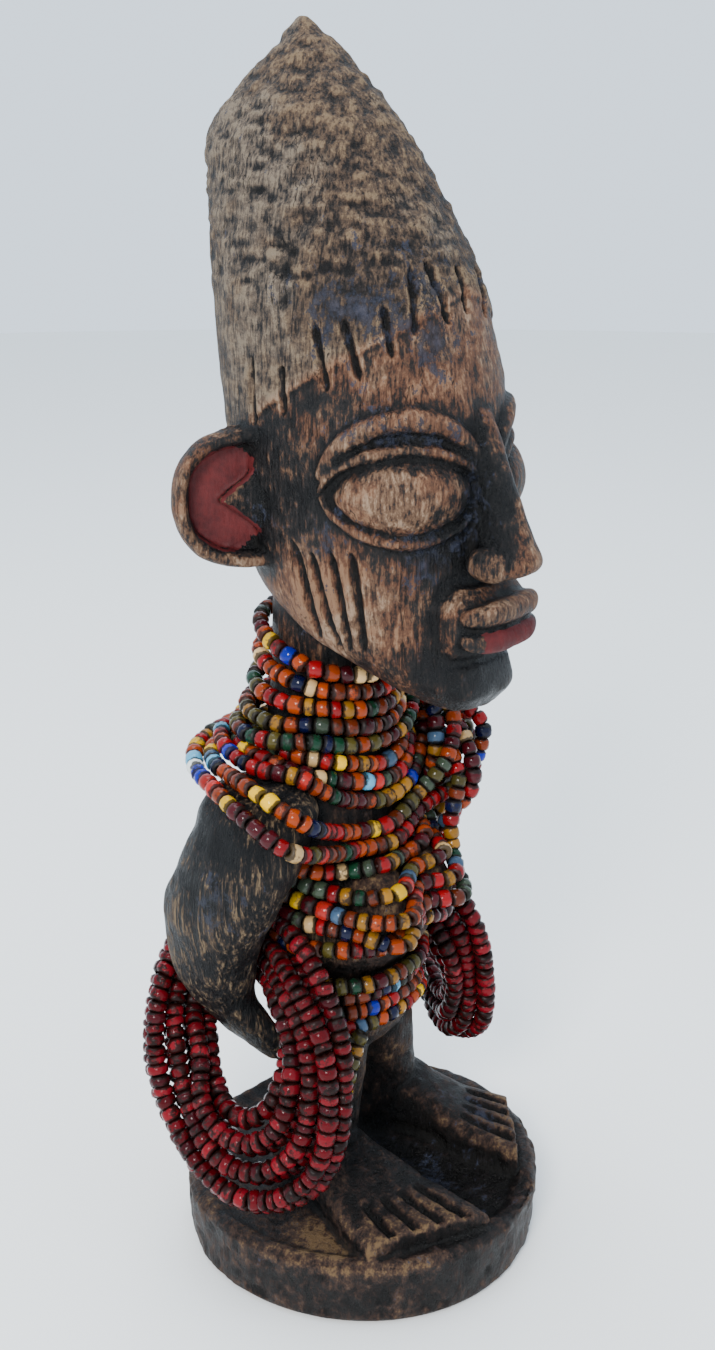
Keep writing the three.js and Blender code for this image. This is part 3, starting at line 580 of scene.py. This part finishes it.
hair_front = -0.14 * soft(1.5 - round_head, 0, 0.5) * soft(245 - up, 0, 45)
hair_sides = 0.02 + 0.07 * soft(round_head, 1.3, 1.9)
# Painted shade: the lower jaw and chin are made darker
shade_under_jaw = -0.42 * soft(140 - up, -2, 5) * soft(forward, 6, 16)
mouth = -0.3 * soft(150 - up, 0, 6) * soft(forward, 24, 27)
lips = -0.12 * soft(152 - up, 0, 4) * soft(forward, 32, 37)
ears = -0.14 * soft(aside, 27, 30)
under_hair = -0.3 * np.exp(-((over_edge + 5) / 2.2) ** 2) * soft(round_head, 0.95, 1.2)
nape = -0.28 * soft(round_head, 1.9, 2.4) * soft(4 - over_edge, 0, 14)
forearms = 0.15 * soft(84 - up, 0, 16)
elbows = 0.18 * soft(aside, 37, 42) * soft(100 - up, 0, 10) * soft(up, 50, 66)
base_and_feet = (up < 14) * np.where(up < -0.7, 0.08, 0.04) + 0.1 * floor_of_dish
wear_and_painted_light = (0.24 + on_head * (0.325 + shade_under_jaw + mouth + lips + ears + under_hair + nape)
        + in_hair * (hair_front + hair_sides) + limbs * (-0.2 + forearms + elbows) + base_and_feet)
patches = [  # how much paler, where, and how far it reaches
    # A painted highlight: the ridge of the nose is made paler
    (0.2, point(0, -44, 162), (2, 9, 12)),  # ridge of the nose
    (-0.25, point(0, -46, 157), (9, 5, 5)),  # under its tip
    (-0.25, point(4, -8, 0), (14, 26, 8)),  # hollow between the feet
    (0.62, point(-31, -15, -1.5), (9, 12, 4)),  # pale stains in the dish
    (0.22, point(-31, 16, -1.5), (10, 15, 4)),
]
for side in SIDES:
    patches += [
        (-0.26, head.point(-side * EYE_ANGLE, EYE_LEVEL + 2), (24, 24, 16)),  # socket of the eye
        (0.22, head.point(-side * EYE_ANGLE, EYE_LEVEL, 4), (12, 11, 7)),  # its ball
        (-0.42, head.point(-side * 0.22, face_level(0.46), 3), (9, 9, 15)),  # beside the nose
        (-0.3, head.point(-side * 1.8, 166), (12, 14, 13)),  # root of the ear
    ]
for paler, centre, reach in patches:
    wear_and_painted_light = wear_and_painted_light + paler * around(centre, reach)
fine_wear = (0.9 + 0.1 * in_hair) * np.clip(proud_fine, -0.25, 0.3)
broad_wear = (0.4 - 0.12 * on_head) * np.clip(proud_broad, -0.6, 0.8) * (1 - 0.85 * floor_of_dish)
wear_and_painted_light = wear_and_painted_light + (fine_wear + broad_wear) * (1 - 0.4 * (up < 0.5))

# Red paint in the hollows of the ears and on the lower lip
paint = np.zeros(len(spots))
for side in SIDES:
    away, front = ear_ways(side)
    local = spots - ear_spot(side, EAR_REACH / 2, 0, 0)
    u, v, w = local @ away, local[:, 2], local @ front
    in_hollow = ((u + 1) / (EAR_REACH / 2 + 1.5)) ** 2 + (v / (EAR_HALF - 1.6)) ** 2 < 1
    paint = np.maximum(paint, in_hollow * (w < 2.2) * (w > -2) * (outs @ front > 0.2))
on_lip = (np.abs(up - LOWER_LIP) < 2.4) * (spots[:, 1] < LIP_FRONT) * (aside < LIP_HALF)
paint = np.maximum(paint, on_lip)

# Indigo stains, most of them on the head
HEAD_STAINS = (  # turn from the front, height, reach and strength
    (1.0, 206, 11, 0.5), (1.25, 210, 8, 0.42), (0.37, 201, 6, 0.75), (0.6, 214, 12, 0.34),
    (0.1, 212, 9, 0.4), (1.9, 166, 7, 0.6), (1.35, 162, 8, 0.6), (0.52, 160, 8, 0.9),
    (0.15, 172, 7, 0.8), (-0.6, 208, 9, 0.7), (-1.2, 204, 8, 0.6), (-0.5, 162, 8, 0.8),
    (-1.4, 163, 8, 0.6), (2.6, 215, 10, 0.5), (-2.4, 190, 10, 0.4),
)
stains = [(head.point(angle, level), size, much) for angle, level, size, much in HEAD_STAINS]
stains += [(point(6, -14, -1), (7, 24, 5), 0.8), (point(24, -18, 4), (6, 14, 6), 0.6)]
for side in SIDES:
    stains += [(head.point(-side * 0.75, face_level(0.69)), (14, 14, 4), 0.75),
               (point(side * 38, 8, 82), (9, 8, 9), 1.0)]
indigo = sum(much * around(centre, reach) for centre, reach, much in stains)

# What the material reads at each spot, four values to an attribute
from_face = soft(round_head, 0.5, 2.2)
for name, channels in (
        ("carving", (wear_and_painted_light, np.clip(0.5 + proud_fine, 0, 1), paint, indigo)),
        ("place", (in_hair, limbs, low, from_face))):
    layer = carved.attributes.new(name, "FLOAT_COLOR", "POINT")
    layer.data.foreach_set("color", np.clip(np.stack(channels, axis=1), 0, 1).astype(np.float32).ravel())
carved.transform(Matrix.Scale(1 / MILLIMETRES, 4))
carved.polygons.foreach_set("use_smooth", [True] * len(carved.polygons))


def colour(red, green, blue):
    """A colour as it looks on a screen, 0 to 255, for the shader."""
    return tuple((value / 255 / 12.92 if value <= 10 else ((value / 255 + 0.055) / 1.055) ** 2.4)
                 for value in (red, green, blue)) + (1.0,)


class Shade:
    """A value in a material. Arithmetic on it adds the nodes that work it out."""

    def __init__(self, tree, socket=None):
        self.tree = tree
        self.socket = socket

    def node(self, kind, inputs=None, output=0, stops=None, **settings):
        """Any node: its type, the values or links of its sockets, and its settings or a ramp's stops."""
        made = self.tree.nodes.new(kind)
        for name, value in settings.items():
            setattr(made, name, value)
        for i, (place, tone) in enumerate(stops or []):
            stop = made.color_ramp.elements[0] if i == 0 else made.color_ramp.elements.new(place)
            stop.position = place
            stop.color = tone
        if stops:
            made.color_ramp.elements.remove(made.color_ramp.elements[-1])
        for name, value in (inputs or {}).items():
            if isinstance(value, Shade):
                self.tree.links.new(value.socket, made.inputs[name])
            else:
                made.inputs[name].default_value = value
        return Shade(self.tree, made.outputs[output])

    def maths(self, operation, first, second=0.0):
        return self.node("ShaderNodeMath", {0: first, 1: second}, operation=operation)

    def __add__(self, other):
        return self.maths("ADD", self, other)

    def __radd__(self, other):
        return self.maths("ADD", other, self)

    def __sub__(self, other):
        return self.maths("SUBTRACT", self, other)

    def __rsub__(self, other):
        return self.maths("SUBTRACT", other, self)

    def __mul__(self, other):
        return self.maths("MULTIPLY", self, other)

    def __rmul__(self, other):
        return self.maths("MULTIPLY", other, self)

    def __abs__(self):
        return self.maths("ABSOLUTE", self)

    def step(self, low, high):
        """0 up to low and 1 from high, with a soft rise between."""
        return self.node("ShaderNodeMapRange", {"Value": self, "From Min": low, "From Max": high},
                         interpolation_type="SMOOTHSTEP")

    def blend(self, share, other):
        """This colour with a share of the other laid over it."""
        return self.node("ShaderNodeMix", {0: share, 6: self, 7: other}, output=2, data_type="RGBA")

    def output(self, name):
        """Another output of the same node."""
        return Shade(self.tree, self.socket.node.outputs[name])

    def parts(self):
        """The red, green and blue of a colour."""
        split = self.node("ShaderNodeSeparateColor", {"Color": self})
        return [split.output(name) for name in ("Red", "Green", "Blue")]

    def feed(self, surface, name):
        self.tree.links.new(self.socket, surface.inputs[name])

    def ramp(self, places, colours):
        """A colour that runs through the given ones as this value rises."""
        stops = [(place, colour(*shown)) for place, shown in zip(places, colours)]
        return self.node("ShaderNodeValToRGB", {"Fac": self}, stops=stops)

    def noise(self, scale, detail, roughness):
        """Chance values about 0.5 at these places, finer with a higher scale."""
        return self.node("ShaderNodeTexNoise", {"Vector": self, "Scale": scale, "Detail": detail,
                                                "Roughness": roughness})

    def stretched(self, x, y, z):
        """These places scaled. Less than 1 draws the noise out along an axis."""
        return self.node("ShaderNodeMapping", {"Vector": self, "Scale": (x, y, z)})


def new_material(name):
    """A material, a value to start its nodes from, and its surface."""
    material = bpy.data.materials.new(name)
    material.use_nodes = True
    tree = material.node_tree
    surface = tree.nodes["Principled BSDF"]
    return material, Shade(tree), surface


FACE_WEAR = (0.15, 0.4, 0.49, 0.57, 0.78, 0.99)
WOOD_WEAR = (0.15, 0.38, 0.5, 0.62, 0.82, 0.99)
TONES = {  # from soot to bare wood
    "face": ((9, 9, 10), (30, 27, 26), (48, 34, 27), (75, 53, 39), (102, 78, 60), (138, 114, 93)),
    "russet": ((9, 8, 9), (27, 22, 20), (43, 28, 22), (66, 42, 30), (90, 60, 43), (120, 90, 68)),
    "brown hair": ((14, 12, 12), (31, 25, 22), (49, 39, 32), (65, 51, 41), (86, 69, 54), (110, 91, 70)),
    "grey hair": ((15, 15, 16), (34, 31, 30), (52, 47, 43), (71, 62, 54), (91, 79, 68), (113, 100, 85)),
    "limbs": ((5, 5, 6), (11, 11, 12), (23, 20, 19), (44, 35, 29), (72, 57, 43), (102, 85, 64)),
    "low": ((7, 5, 4), (16, 10, 8), (30, 20, 16), (46, 32, 26), (64, 46, 35), (98, 76, 52)),
}


def wood_material():
    """Dark patina over brown wood, with soot in the cuts, indigo stains and red paint."""
    material, shade, surface = new_material("carved wood")
    surface.inputs["Specular IOR Level"].default_value = 0.16
    here = shade.node("ShaderNodeTexCoord", output=3)
    carving = shade.node("ShaderNodeAttribute", attribute_name="carving")
    wear_and_painted_light, proud, paint = carving.parts()
    indigo = carving.output("Alpha")
    place = shade.node("ShaderNodeAttribute", attribute_name="place")
    hair, limb, low = place.parts()
    bleached = place.output("Alpha")

    strokes = here.stretched(1, 1, 0.2).noise(1500, 2.0, 0.5) - 0.5
    grain = here.stretched(1, 1, 0.05).noise(1100, 4.0, 0.7) - 0.5
    flakes = here.stretched(1, 1, 0.7).noise(480, 6.0, 0.8) - 0.5
    wrinkles = (here.stretched(0.42, 0.42, 1).noise(560, 3.0, 0.6) - 0.5) * hair
    mottles = here.noise(140, 5.0, 0.72) - 0.5
    clouds = here.noise(45, 3.0, 0.6) - 0.5

    dashes = 1 - strokes.step(-0.1, -0.03)
    flecks = strokes.step(0.06, 0.11)
    checks = 1 - abs(here.stretched(1, 1, 0.06).noise(240, 3.0, 0.6) - 0.5).step(0.002, 0.011)
    checks = checks * (mottles + clouds).step(0.02, 0.1) * (1 - low)
    streaks = grain.step(0.04, 0.09) * limb * (wear_and_painted_light + clouds * 1.3 + mottles * 0.9).step(0.16, 0.36)
    tone = (wear_and_painted_light + clouds * (0.85 - hair * 0.45) + mottles * (0.8 + low * 0.1 - hair * 0.3)
            + flakes * (1.6 + hair * 0.3 + low * 0.9) - dashes * (0.16 + hair * 0.08 - low * 0.1)
            + flecks * (0.14 - low * 0.12) + grain * (0.6 + limb * 0.5 - low * 0.4)
            + streaks * 0.28 + wrinkles * 0.75)

    greyed = (bleached * 0.65 + clouds * 2.4 + mottles * 1.4).step(0.05, 0.65)
    reddened = (clouds * 2.4 + mottles * 1.4 + 0.5).step(0.42, 0.62)
    brown_hair = tone.ramp(WOOD_WEAR, TONES["brown hair"])
    hair_tone = brown_hair.blend(greyed, tone.ramp(WOOD_WEAR, TONES["grey hair"]))
    face_tone = tone.ramp(FACE_WEAR, TONES["face"]).blend(reddened, tone.ramp(FACE_WEAR, TONES["russet"]))
    limb_tone = tone.ramp(WOOD_WEAR, TONES["limbs"])
    low_tone = tone.ramp(WOOD_WEAR, TONES["low"])
    wood_colour = face_tone.blend(hair, hair_tone).blend(limb, limb_tone).blend(low, low_tone)

    recess = (1 - (proud + mottles * 0.12).step(0.12, 0.46)) * 0.85
    soot = (flakes + 0.5).ramp((0.3, 0.7), ((8, 7, 6), (22, 20, 18)))
    stain = (indigo * 0.9 + clouds * 0.6 + mottles * 2.0 + flakes * 3.2).step(0.56, 0.7)
    dye = (mottles * 0.6 + flakes + 0.5).ramp((0.3, 0.5, 0.7), ((8, 8, 11), (21, 22, 28), (43, 47, 61)))
    painted = (paint + flakes * 0.5 + mottles * 0.3).step(0.44, 0.54)
    red = (mottles + flakes * 0.4 + 0.5).ramp((0.3, 0.7), ((52, 16, 18), (90, 33, 33)))
    darkened = wood_colour.blend(checks * 0.8, soot).blend(recess, soot)
    darkened.blend(stain * 0.88, dye).blend(painted, red).feed(surface, "Base Color")
    (0.44 + hair * 0.18 + (tone - 0.4) * 0.35 - stain * 0.18 + recess * 0.12 + painted * 0.2
     + flakes * 0.25).feed(surface, "Roughness")
    height = (strokes * (0.3 + hair * 0.4) + grain * (0.3 + limb * 0.9) + flakes * 0.9
              - checks * 0.25 + wrinkles * 1.6) * (1 - painted * 0.7)
    relief = shade.node("ShaderNodeBump", {"Height": height, "Strength": 1.0, "Distance": 0.0009})
    relief.feed(surface, "Normal")
    return material


carved.materials.append(wood_material())
figure = bpy.data.objects.new("figure_wood", carved)
bpy.context.scene.collection.objects.link(figure)
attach(figure, "root")
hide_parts("carved_figure")

# Strings of beads
# Small barrels of opaque glass on thin thread, end to end and a little uneven. Each string is a closed loop
# and follows a smooth line through the middle of its solid. Holes are shares of a bead's half width.
BEAD = dict(across=4.15, length=3.1, hole=0.28)
RED_BEAD = dict(across=4.85, length=2.75, hole=0.26)
LENGTH_SPREAD, SHORTEST, LONGEST = 0.13, 0.7, 1.35
WIDTHS, OVALS, TILT, SHADES = (0.9, 1.05), (0.95, 1.03), 0.12, (0.6, 1.12)
BODY_MIDDLE = 5.0  # y that turns round the body are measured about
GLASS = {
    "crimson": colour(76, 4, 11), "rose": colour(106, 14, 23), "burgundy": colour(58, 9, 15),
    "red": colour(124, 10, 15), "coral": colour(148, 30, 24),
    "orange": colour(134, 48, 6), "brown": colour(86, 32, 13), "yellow": colour(214, 164, 0),
    "ochre": colour(134, 90, 22), "olive": colour(66, 58, 24), "green": colour(14, 48, 30),
    "grey green": colour(50, 60, 46), "cream": colour(196, 158, 106), "white": colour(226, 228, 224),
    "light blue": colour(84, 152, 184), "grey blue": colour(54, 74, 96), "cobalt": colour(10, 26, 140),
    "navy": colour(10, 14, 44),
}


def rings_of(node):
    """The middles of a tube's rings, in order round the loop, in millimetres."""
    tube = bmesh.new()
    tube.from_mesh(node.data)
    bmesh.ops.remove_doubles(tube, verts=tube.verts, dist=1e-5)
    tube.verts.ensure_lookup_table()
    reach = 1.2 * min(edge.calc_length() for edge in tube.edges)  # only edges round a ring are so short
    ring_of = {}
    rings = []
    for vert in tube.verts:
        if vert in ring_of:
            continue
        ring, ahead = [], [vert]
        ring_of[vert] = len(rings)
        while ahead:
            one = ahead.pop()
            ring.append(one)
            for edge in one.link_edges:
                other = edge.other_vert(one)
                if other not in ring_of and edge.calc_length() < reach:
                    ring_of[other] = len(rings)
                    ahead.append(other)
        rings.append(ring)
    beside = [sorted({ring_of[edge.other_vert(vert)] for vert in ring for edge in vert.link_edges} - {i})
              for i, ring in enumerate(rings)]
    order = [0, beside[0][0]]
    while len(order) < len(rings):
        order.append(next(i for i in beside[order[-1]] if i != order[-2]))
    centres = [MILLIMETRES * sum((vert.co for vert in rings[i]), Vector()) / len(rings[i]) for i in order]
    tube.free()
    return np.array([tuple(centre) for centre in centres])


def smooth_loop(centres, size, random):
    """The middles, ways and lengths of beads that lie end to end on a closed line."""
    wrap = 3  # rings repeated past the loop's start and end
    padded = np.concatenate([centres[-wrap:], centres, centres[:wrap]])
    places = np.concatenate([[0], np.cumsum(np.linalg.norm(np.diff(padded, axis=0), axis=1))])
    start, end = places[wrap], places[wrap + len(centres)]
    fine = smooth(places, padded, np.linspace(start, end, 1201))
    run = np.concatenate([[0], np.cumsum(np.linalg.norm(np.diff(fine, axis=0), axis=1))])
    lengths = np.clip(random.normal(1, LENGTH_SPREAD, round(run[-1] / size)), SHORTEST, LONGEST)
    lengths = lengths * run[-1] / lengths.sum()
    middles = np.cumsum(lengths) - lengths / 2
    at = lambda where: np.stack([np.interp(where % run[-1], run, fine[:, n]) for n in range(3)], axis=1)
    return at(middles), unit(at(middles + 0.4) - at(middles - 0.4)), lengths


def bead_shape(string, across, length, hole):
    """One bead: its outline from the hole over the rim and back, spun round the thread."""
    half, radius = length / 2, across / 2
    outline = [(hole, 0.82), (0.68, 1.0), (0.95, 0.6), (1.0, 0), (0.95, -0.6), (0.68, -1.0), (hole, -0.82)]
    verts = [string.verts.new((r * radius, 0, z * half)) for r, z in outline]
    edges_made = [string.edges.new((a, b)) for a, b in zip(verts, verts[1:] + verts[:1])]
    bmesh.ops.spin(string, geom=verts + edges_made, axis=(0, 0, 1), cent=(0, 0, 0), steps=10,
                   angle=math.tau, use_merge=True)


def turns_from(turns, start):
    """How far turns in degrees lie beyond a start, from -180 to 180."""
    return (turns - start + 180) % 360 - 180


def bead_colours(weights, laid, turns, random):
    """A colour for every bead by chance, and in laid's order from its turn. Also the way that order runs."""
    odds = np.array(list(weights.values()), float)
    names = list(random.choice(list(weights), len(turns), p=odds / odds.sum()))
    start, order = laid or (0, "")
    first = int(np.argmin(np.abs(turns_from(turns, start))))
    onward = 1 if turns_from(turns[(first + 1) % len(turns)], turns[first]) < 0 else -1
    for i, name in enumerate(order.split()):
        names[(first + onward * i) % len(names)] = name.replace("_", " ")
    return names, onward


def loose_end_beads(knot, way, bead, count):
    """The middles of beads on a thread's end that hangs from its knot, a little outward, and their way."""
    outward = unit(knot * [1, 1, 0])
    hang = unit(-UPWARD + 0.25 * outward - 0.35 * way)
    middles = [knot + outward * bead["across"] * 0.9 + hang * bead["length"] * (i + 0.3)
               for i in range(count)]
    return middles, [hang] * count


def thread_bead(string, pattern, near_end, place, way, stretch, name, random):
    """Copies the pattern to its place, a little out of true, and gives it colour, dirt, and how near each
    point is to its ends, where painted shade darkens the joints.
    """
    verts = [part for part in bmesh.ops.duplicate(string, geom=pattern)["geom"]
             if isinstance(part, bmesh.types.BMVert)]
    size = random.uniform(*WIDTHS)
    tilt = way + random.normal(0, TILT, 3)
    turned = Vector(tilt).to_track_quat("Z", "Y").to_matrix().to_4x4()
    spin = Matrix.Rotation(random.uniform(0, 6.28), 4, "Z")
    own_size = Matrix.Diagonal((size, size * random.uniform(*OVALS), stretch, 1))
    bmesh.ops.transform(string, matrix=Matrix.Translation(place) @ turned @ spin @ own_size, verts=verts)
    shade = random.uniform(*SHADES)
    dirt, own = random.uniform(0, 1, 2)
    red, green, blue, _ = GLASS[name]
    tint, grime_and_joint_shade = (string.verts.layers.float_color[layer] for layer in ("glass", "grime_and_joint_shade"))
    for vert, end in zip(verts, near_end):
        vert[tint] = (red * shade, green * shade, blue * shade, 1)
        vert[grime_and_joint_shade] = (end, dirt, own, 1)


def string_beads(node, weights, laid, material, bead, seed, loose_end=None):
    """Threads a strand's beads in colours by chance.

    laid is a turn round the body, in degrees, and the colours in order from there. loose_end is the turn
    where the thread's knotted end hangs down, and the colours of its beads."""
    random = np.random.default_rng(seed)
    places, ways, lengths = smooth_loop(rings_of(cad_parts[node]), bead["length"], random)
    turns = np.degrees(np.arctan2(-places[:, 0], BODY_MIDDLE - places[:, 1]))
    names, onward = bead_colours(weights, laid, turns, random)
    if loose_end:
        turn, hung = loose_end
        knot = int(np.argmin(np.abs(turns - turn)))
        tail, tail_ways = loose_end_beads(places[knot], onward * ways[knot], bead, len(hung))
        places, ways = np.concatenate([places, tail]), np.concatenate([ways, tail_ways])
        lengths = np.concatenate([lengths, [bead["length"]] * len(hung)])
        names = names + hung
    string = bmesh.new()
    for layer in ("glass", "grime_and_joint_shade"):
        string.verts.layers.float_color.new(layer)
    bead_shape(string, **bead)
    shape_verts = list(string.verts)
    near_end = [abs(vert.co.z / bead["length"] * 2) for vert in shape_verts]
    pattern = shape_verts + list(string.edges) + list(string.faces)
    for place, way, length, name in zip(places, ways, lengths, names):
        thread_bead(string, pattern, near_end, place, way, length / bead["length"], name, random)
    bmesh.ops.delete(string, geom=shape_verts)
    bmesh.ops.recalc_face_normals(string, faces=string.faces)
    for face in string.faces:
        face.smooth = True
    bmesh.ops.scale(string, vec=[1 / MILLIMETRES] * 3, verts=string.verts)
    name = node.replace("strand", "beads")
    piece = bpy.data.objects.new(name, into_mesh(string, name))
    piece.data.materials.append(material)
    bpy.context.scene.collection.objects.link(piece)
    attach(piece, "root")
    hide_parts(node)


def bead_material(name, crust):
    """Coloured glass, with dirt and painted shade in the joints between beads, and dirt in patches. crust
    adds to the dirt.
    """
    material, shade, surface = new_material(name)
    surface.inputs["Specular IOR Level"].default_value = 0.2 - crust * 0.08
    here = shade.node("ShaderNodeTexCoord", output=3)
    tint = shade.node("ShaderNodeAttribute", attribute_name="glass")
    end, dirt, own = shade.node("ShaderNodeAttribute", attribute_name="grime_and_joint_shade").parts()
    patches = here.noise(380, 5.0, 0.72) - 0.5
    fine = here.noise(1500, 3.0, 0.65) - 0.5
    # The ends of each bead are darker: grime in the joints, and painted shade where neighbouring beads
    # shadow each other
    amount = (end.step(0.4, 1.0) * 0.85 + patches * (2.3 + crust * 1.5) + fine * 0.6
              + dirt * (0.42 - crust * 0.1) + crust * 0.17 + 0.04)
    darkened = amount.step(0.38, 0.72)
    grime_and_shade_colour = (fine + 0.5).ramp((0.3, 0.7), ((5, 4, 3), (24, 16, 12)))
    tint.blend(darkened * 0.9, grime_and_shade_colour).feed(surface, "Base Color")
    (0.07 + own * 0.1 + darkened * (0.36 - crust * 0.14) + fine * 0.15).feed(surface, "Roughness")
    height = patches * 0.3 + (fine * 0.4 + 0.3) * darkened
    relief = shade.node("ShaderNodeBump", {"Height": height, "Strength": 0.4, "Distance": 0.0004})
    relief.feed(surface, "Normal")
    return material


mixed_glass = bead_material("mixed glass", 0.0)
red_glass = bead_material("red glass", 1.0)
OLD_GLASS = {"orange": 22, "brown": 14, "burgundy": 14, "red": 12, "ochre": 10, "olive": 7, "green": 5,
             "grey green": 5, "coral": 4, "yellow": 3, "cream": 3, "grey blue": 3, "navy": 3, "cobalt": 2,
             "light blue": 1}
RED_GLASS = {"crimson": 6, "rose": 3, "burgundy": 2}
SIDE_TURN, CHEST_TURN = 142, 110  # where the laid beads begin, in degrees round from the front
LAID = {
    "neck_strand_5": "burgundy orange yellow red cobalt orange red orange burgundy",
    "neck_strand_4": "cream red orange orange orange navy cream orange brown orange brown",
    "neck_strand_3": "green olive orange red red orange ochre orange red ochre orange green brown",
    "neck_strand_2": "olive ochre olive olive ochre orange navy grey_green brown brown burgundy brown",
    "neck_strand_1": "olive olive brown navy green red olive green brown green navy green olive",
    "collar_strand_1": "burgundy olive green burgundy grey_green red orange cream red yellow orange "
                       "ochre orange coral",
    "collar_strand_2": "green grey_green red yellow orange red orange burgundy burgundy cream green "
                       "burgundy",
    "collar_strand_3": "light_blue red orange red cobalt red navy red red burgundy ochre coral orange "
                       "orange green",
    "collar_strand_4": "orange yellow grey_blue light_blue navy orange orange brown orange yellow yellow "
                       "orange orange orange navy navy coral red red",
    "collar_strand_5": "yellow orange light_blue white cobalt cobalt coral coral orange yellow burgundy "
                       "burgundy burgundy burgundy red cream red",
    "chest_strand_1": "olive olive brown orange orange red cream green grey_green red ochre",
    "chest_strand_2": "olive grey_blue brown green green grey_green grey_green red ochre",
    "chest_strand_3": "red brown brown yellow burgundy coral grey_blue brown ochre orange",
    "chest_strand_4": "brown orange green burgundy grey_green cream red brown navy orange",
    "chest_strand_5": "brown cobalt brown navy orange green orange",
}
LOOSE_END = {"waist_strand_1": (43, ["olive", "ochre", "olive", "olive", "yellow"])}
for seed, node in enumerate(sorted(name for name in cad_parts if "_strand_" in name)):
    if "wrist" in node:
        string_beads(node, RED_GLASS, None, red_glass, RED_BEAD, seed)
        continue
    laid = (CHEST_TURN if "chest" in node else SIDE_TURN, LAID[node]) if node in LAID else None
    string_beads(node, OLD_GLASS, laid, mixed_glass, BEAD, seed, LOOSE_END.get(node))

# Floor and light
# A plain pale table top, so wide that it fades into the pale room, under soft daylight from a window on the
# figure's right and from above. Sizes are metres.
FLOOR_RADIUS = 2.5
stage = bmesh.new()
bmesh.ops.create_circle(stage, cap_ends=True, segments=64, radius=FLOOR_RADIUS)
floor = bpy.data.objects.new("floor", into_mesh(stage, "floor"))
bpy.context.scene.collection.objects.link(floor)
material, _, surface = new_material("pale floor")
surface.inputs["Base Color"].default_value = colour(244, 243, 240)
surface.inputs["Roughness"].default_value = 0.8
floor.data.materials.append(material)

world = bpy.data.worlds.new("room")
world.use_nodes = True
world.node_tree.nodes["Background"].inputs["Color"].default_value = colour(214, 230, 246)
world.node_tree.nodes["Background"].inputs["Strength"].default_value = 1.9
bpy.context.scene.world = world


def window(name, place, size, watts, tint):
    """A lit pane that faces the middle of the figure."""
    lamp = bpy.data.lights.new(name, "AREA")
    lamp.shape = "RECTANGLE"
    lamp.size, lamp.size_y = size
    lamp.energy = watts
    lamp.color = tint
    holder = bpy.data.objects.new(name, lamp)
    holder.location = place
    holder.rotation_euler = (Vector((0, 0, 0.12)) - Vector(place)).to_track_quat("-Z", "Y").to_euler()
    bpy.context.scene.collection.objects.link(holder)


window("window", place=(-0.9, -0.35, 0.75), size=(0.28, 0.36), watts=15, tint=(1, 0.98, 0.95))
window("sky", place=(0.1, 0.2, 1.2), size=(0.7, 0.7), watts=9, tint=(0.93, 0.97, 1))
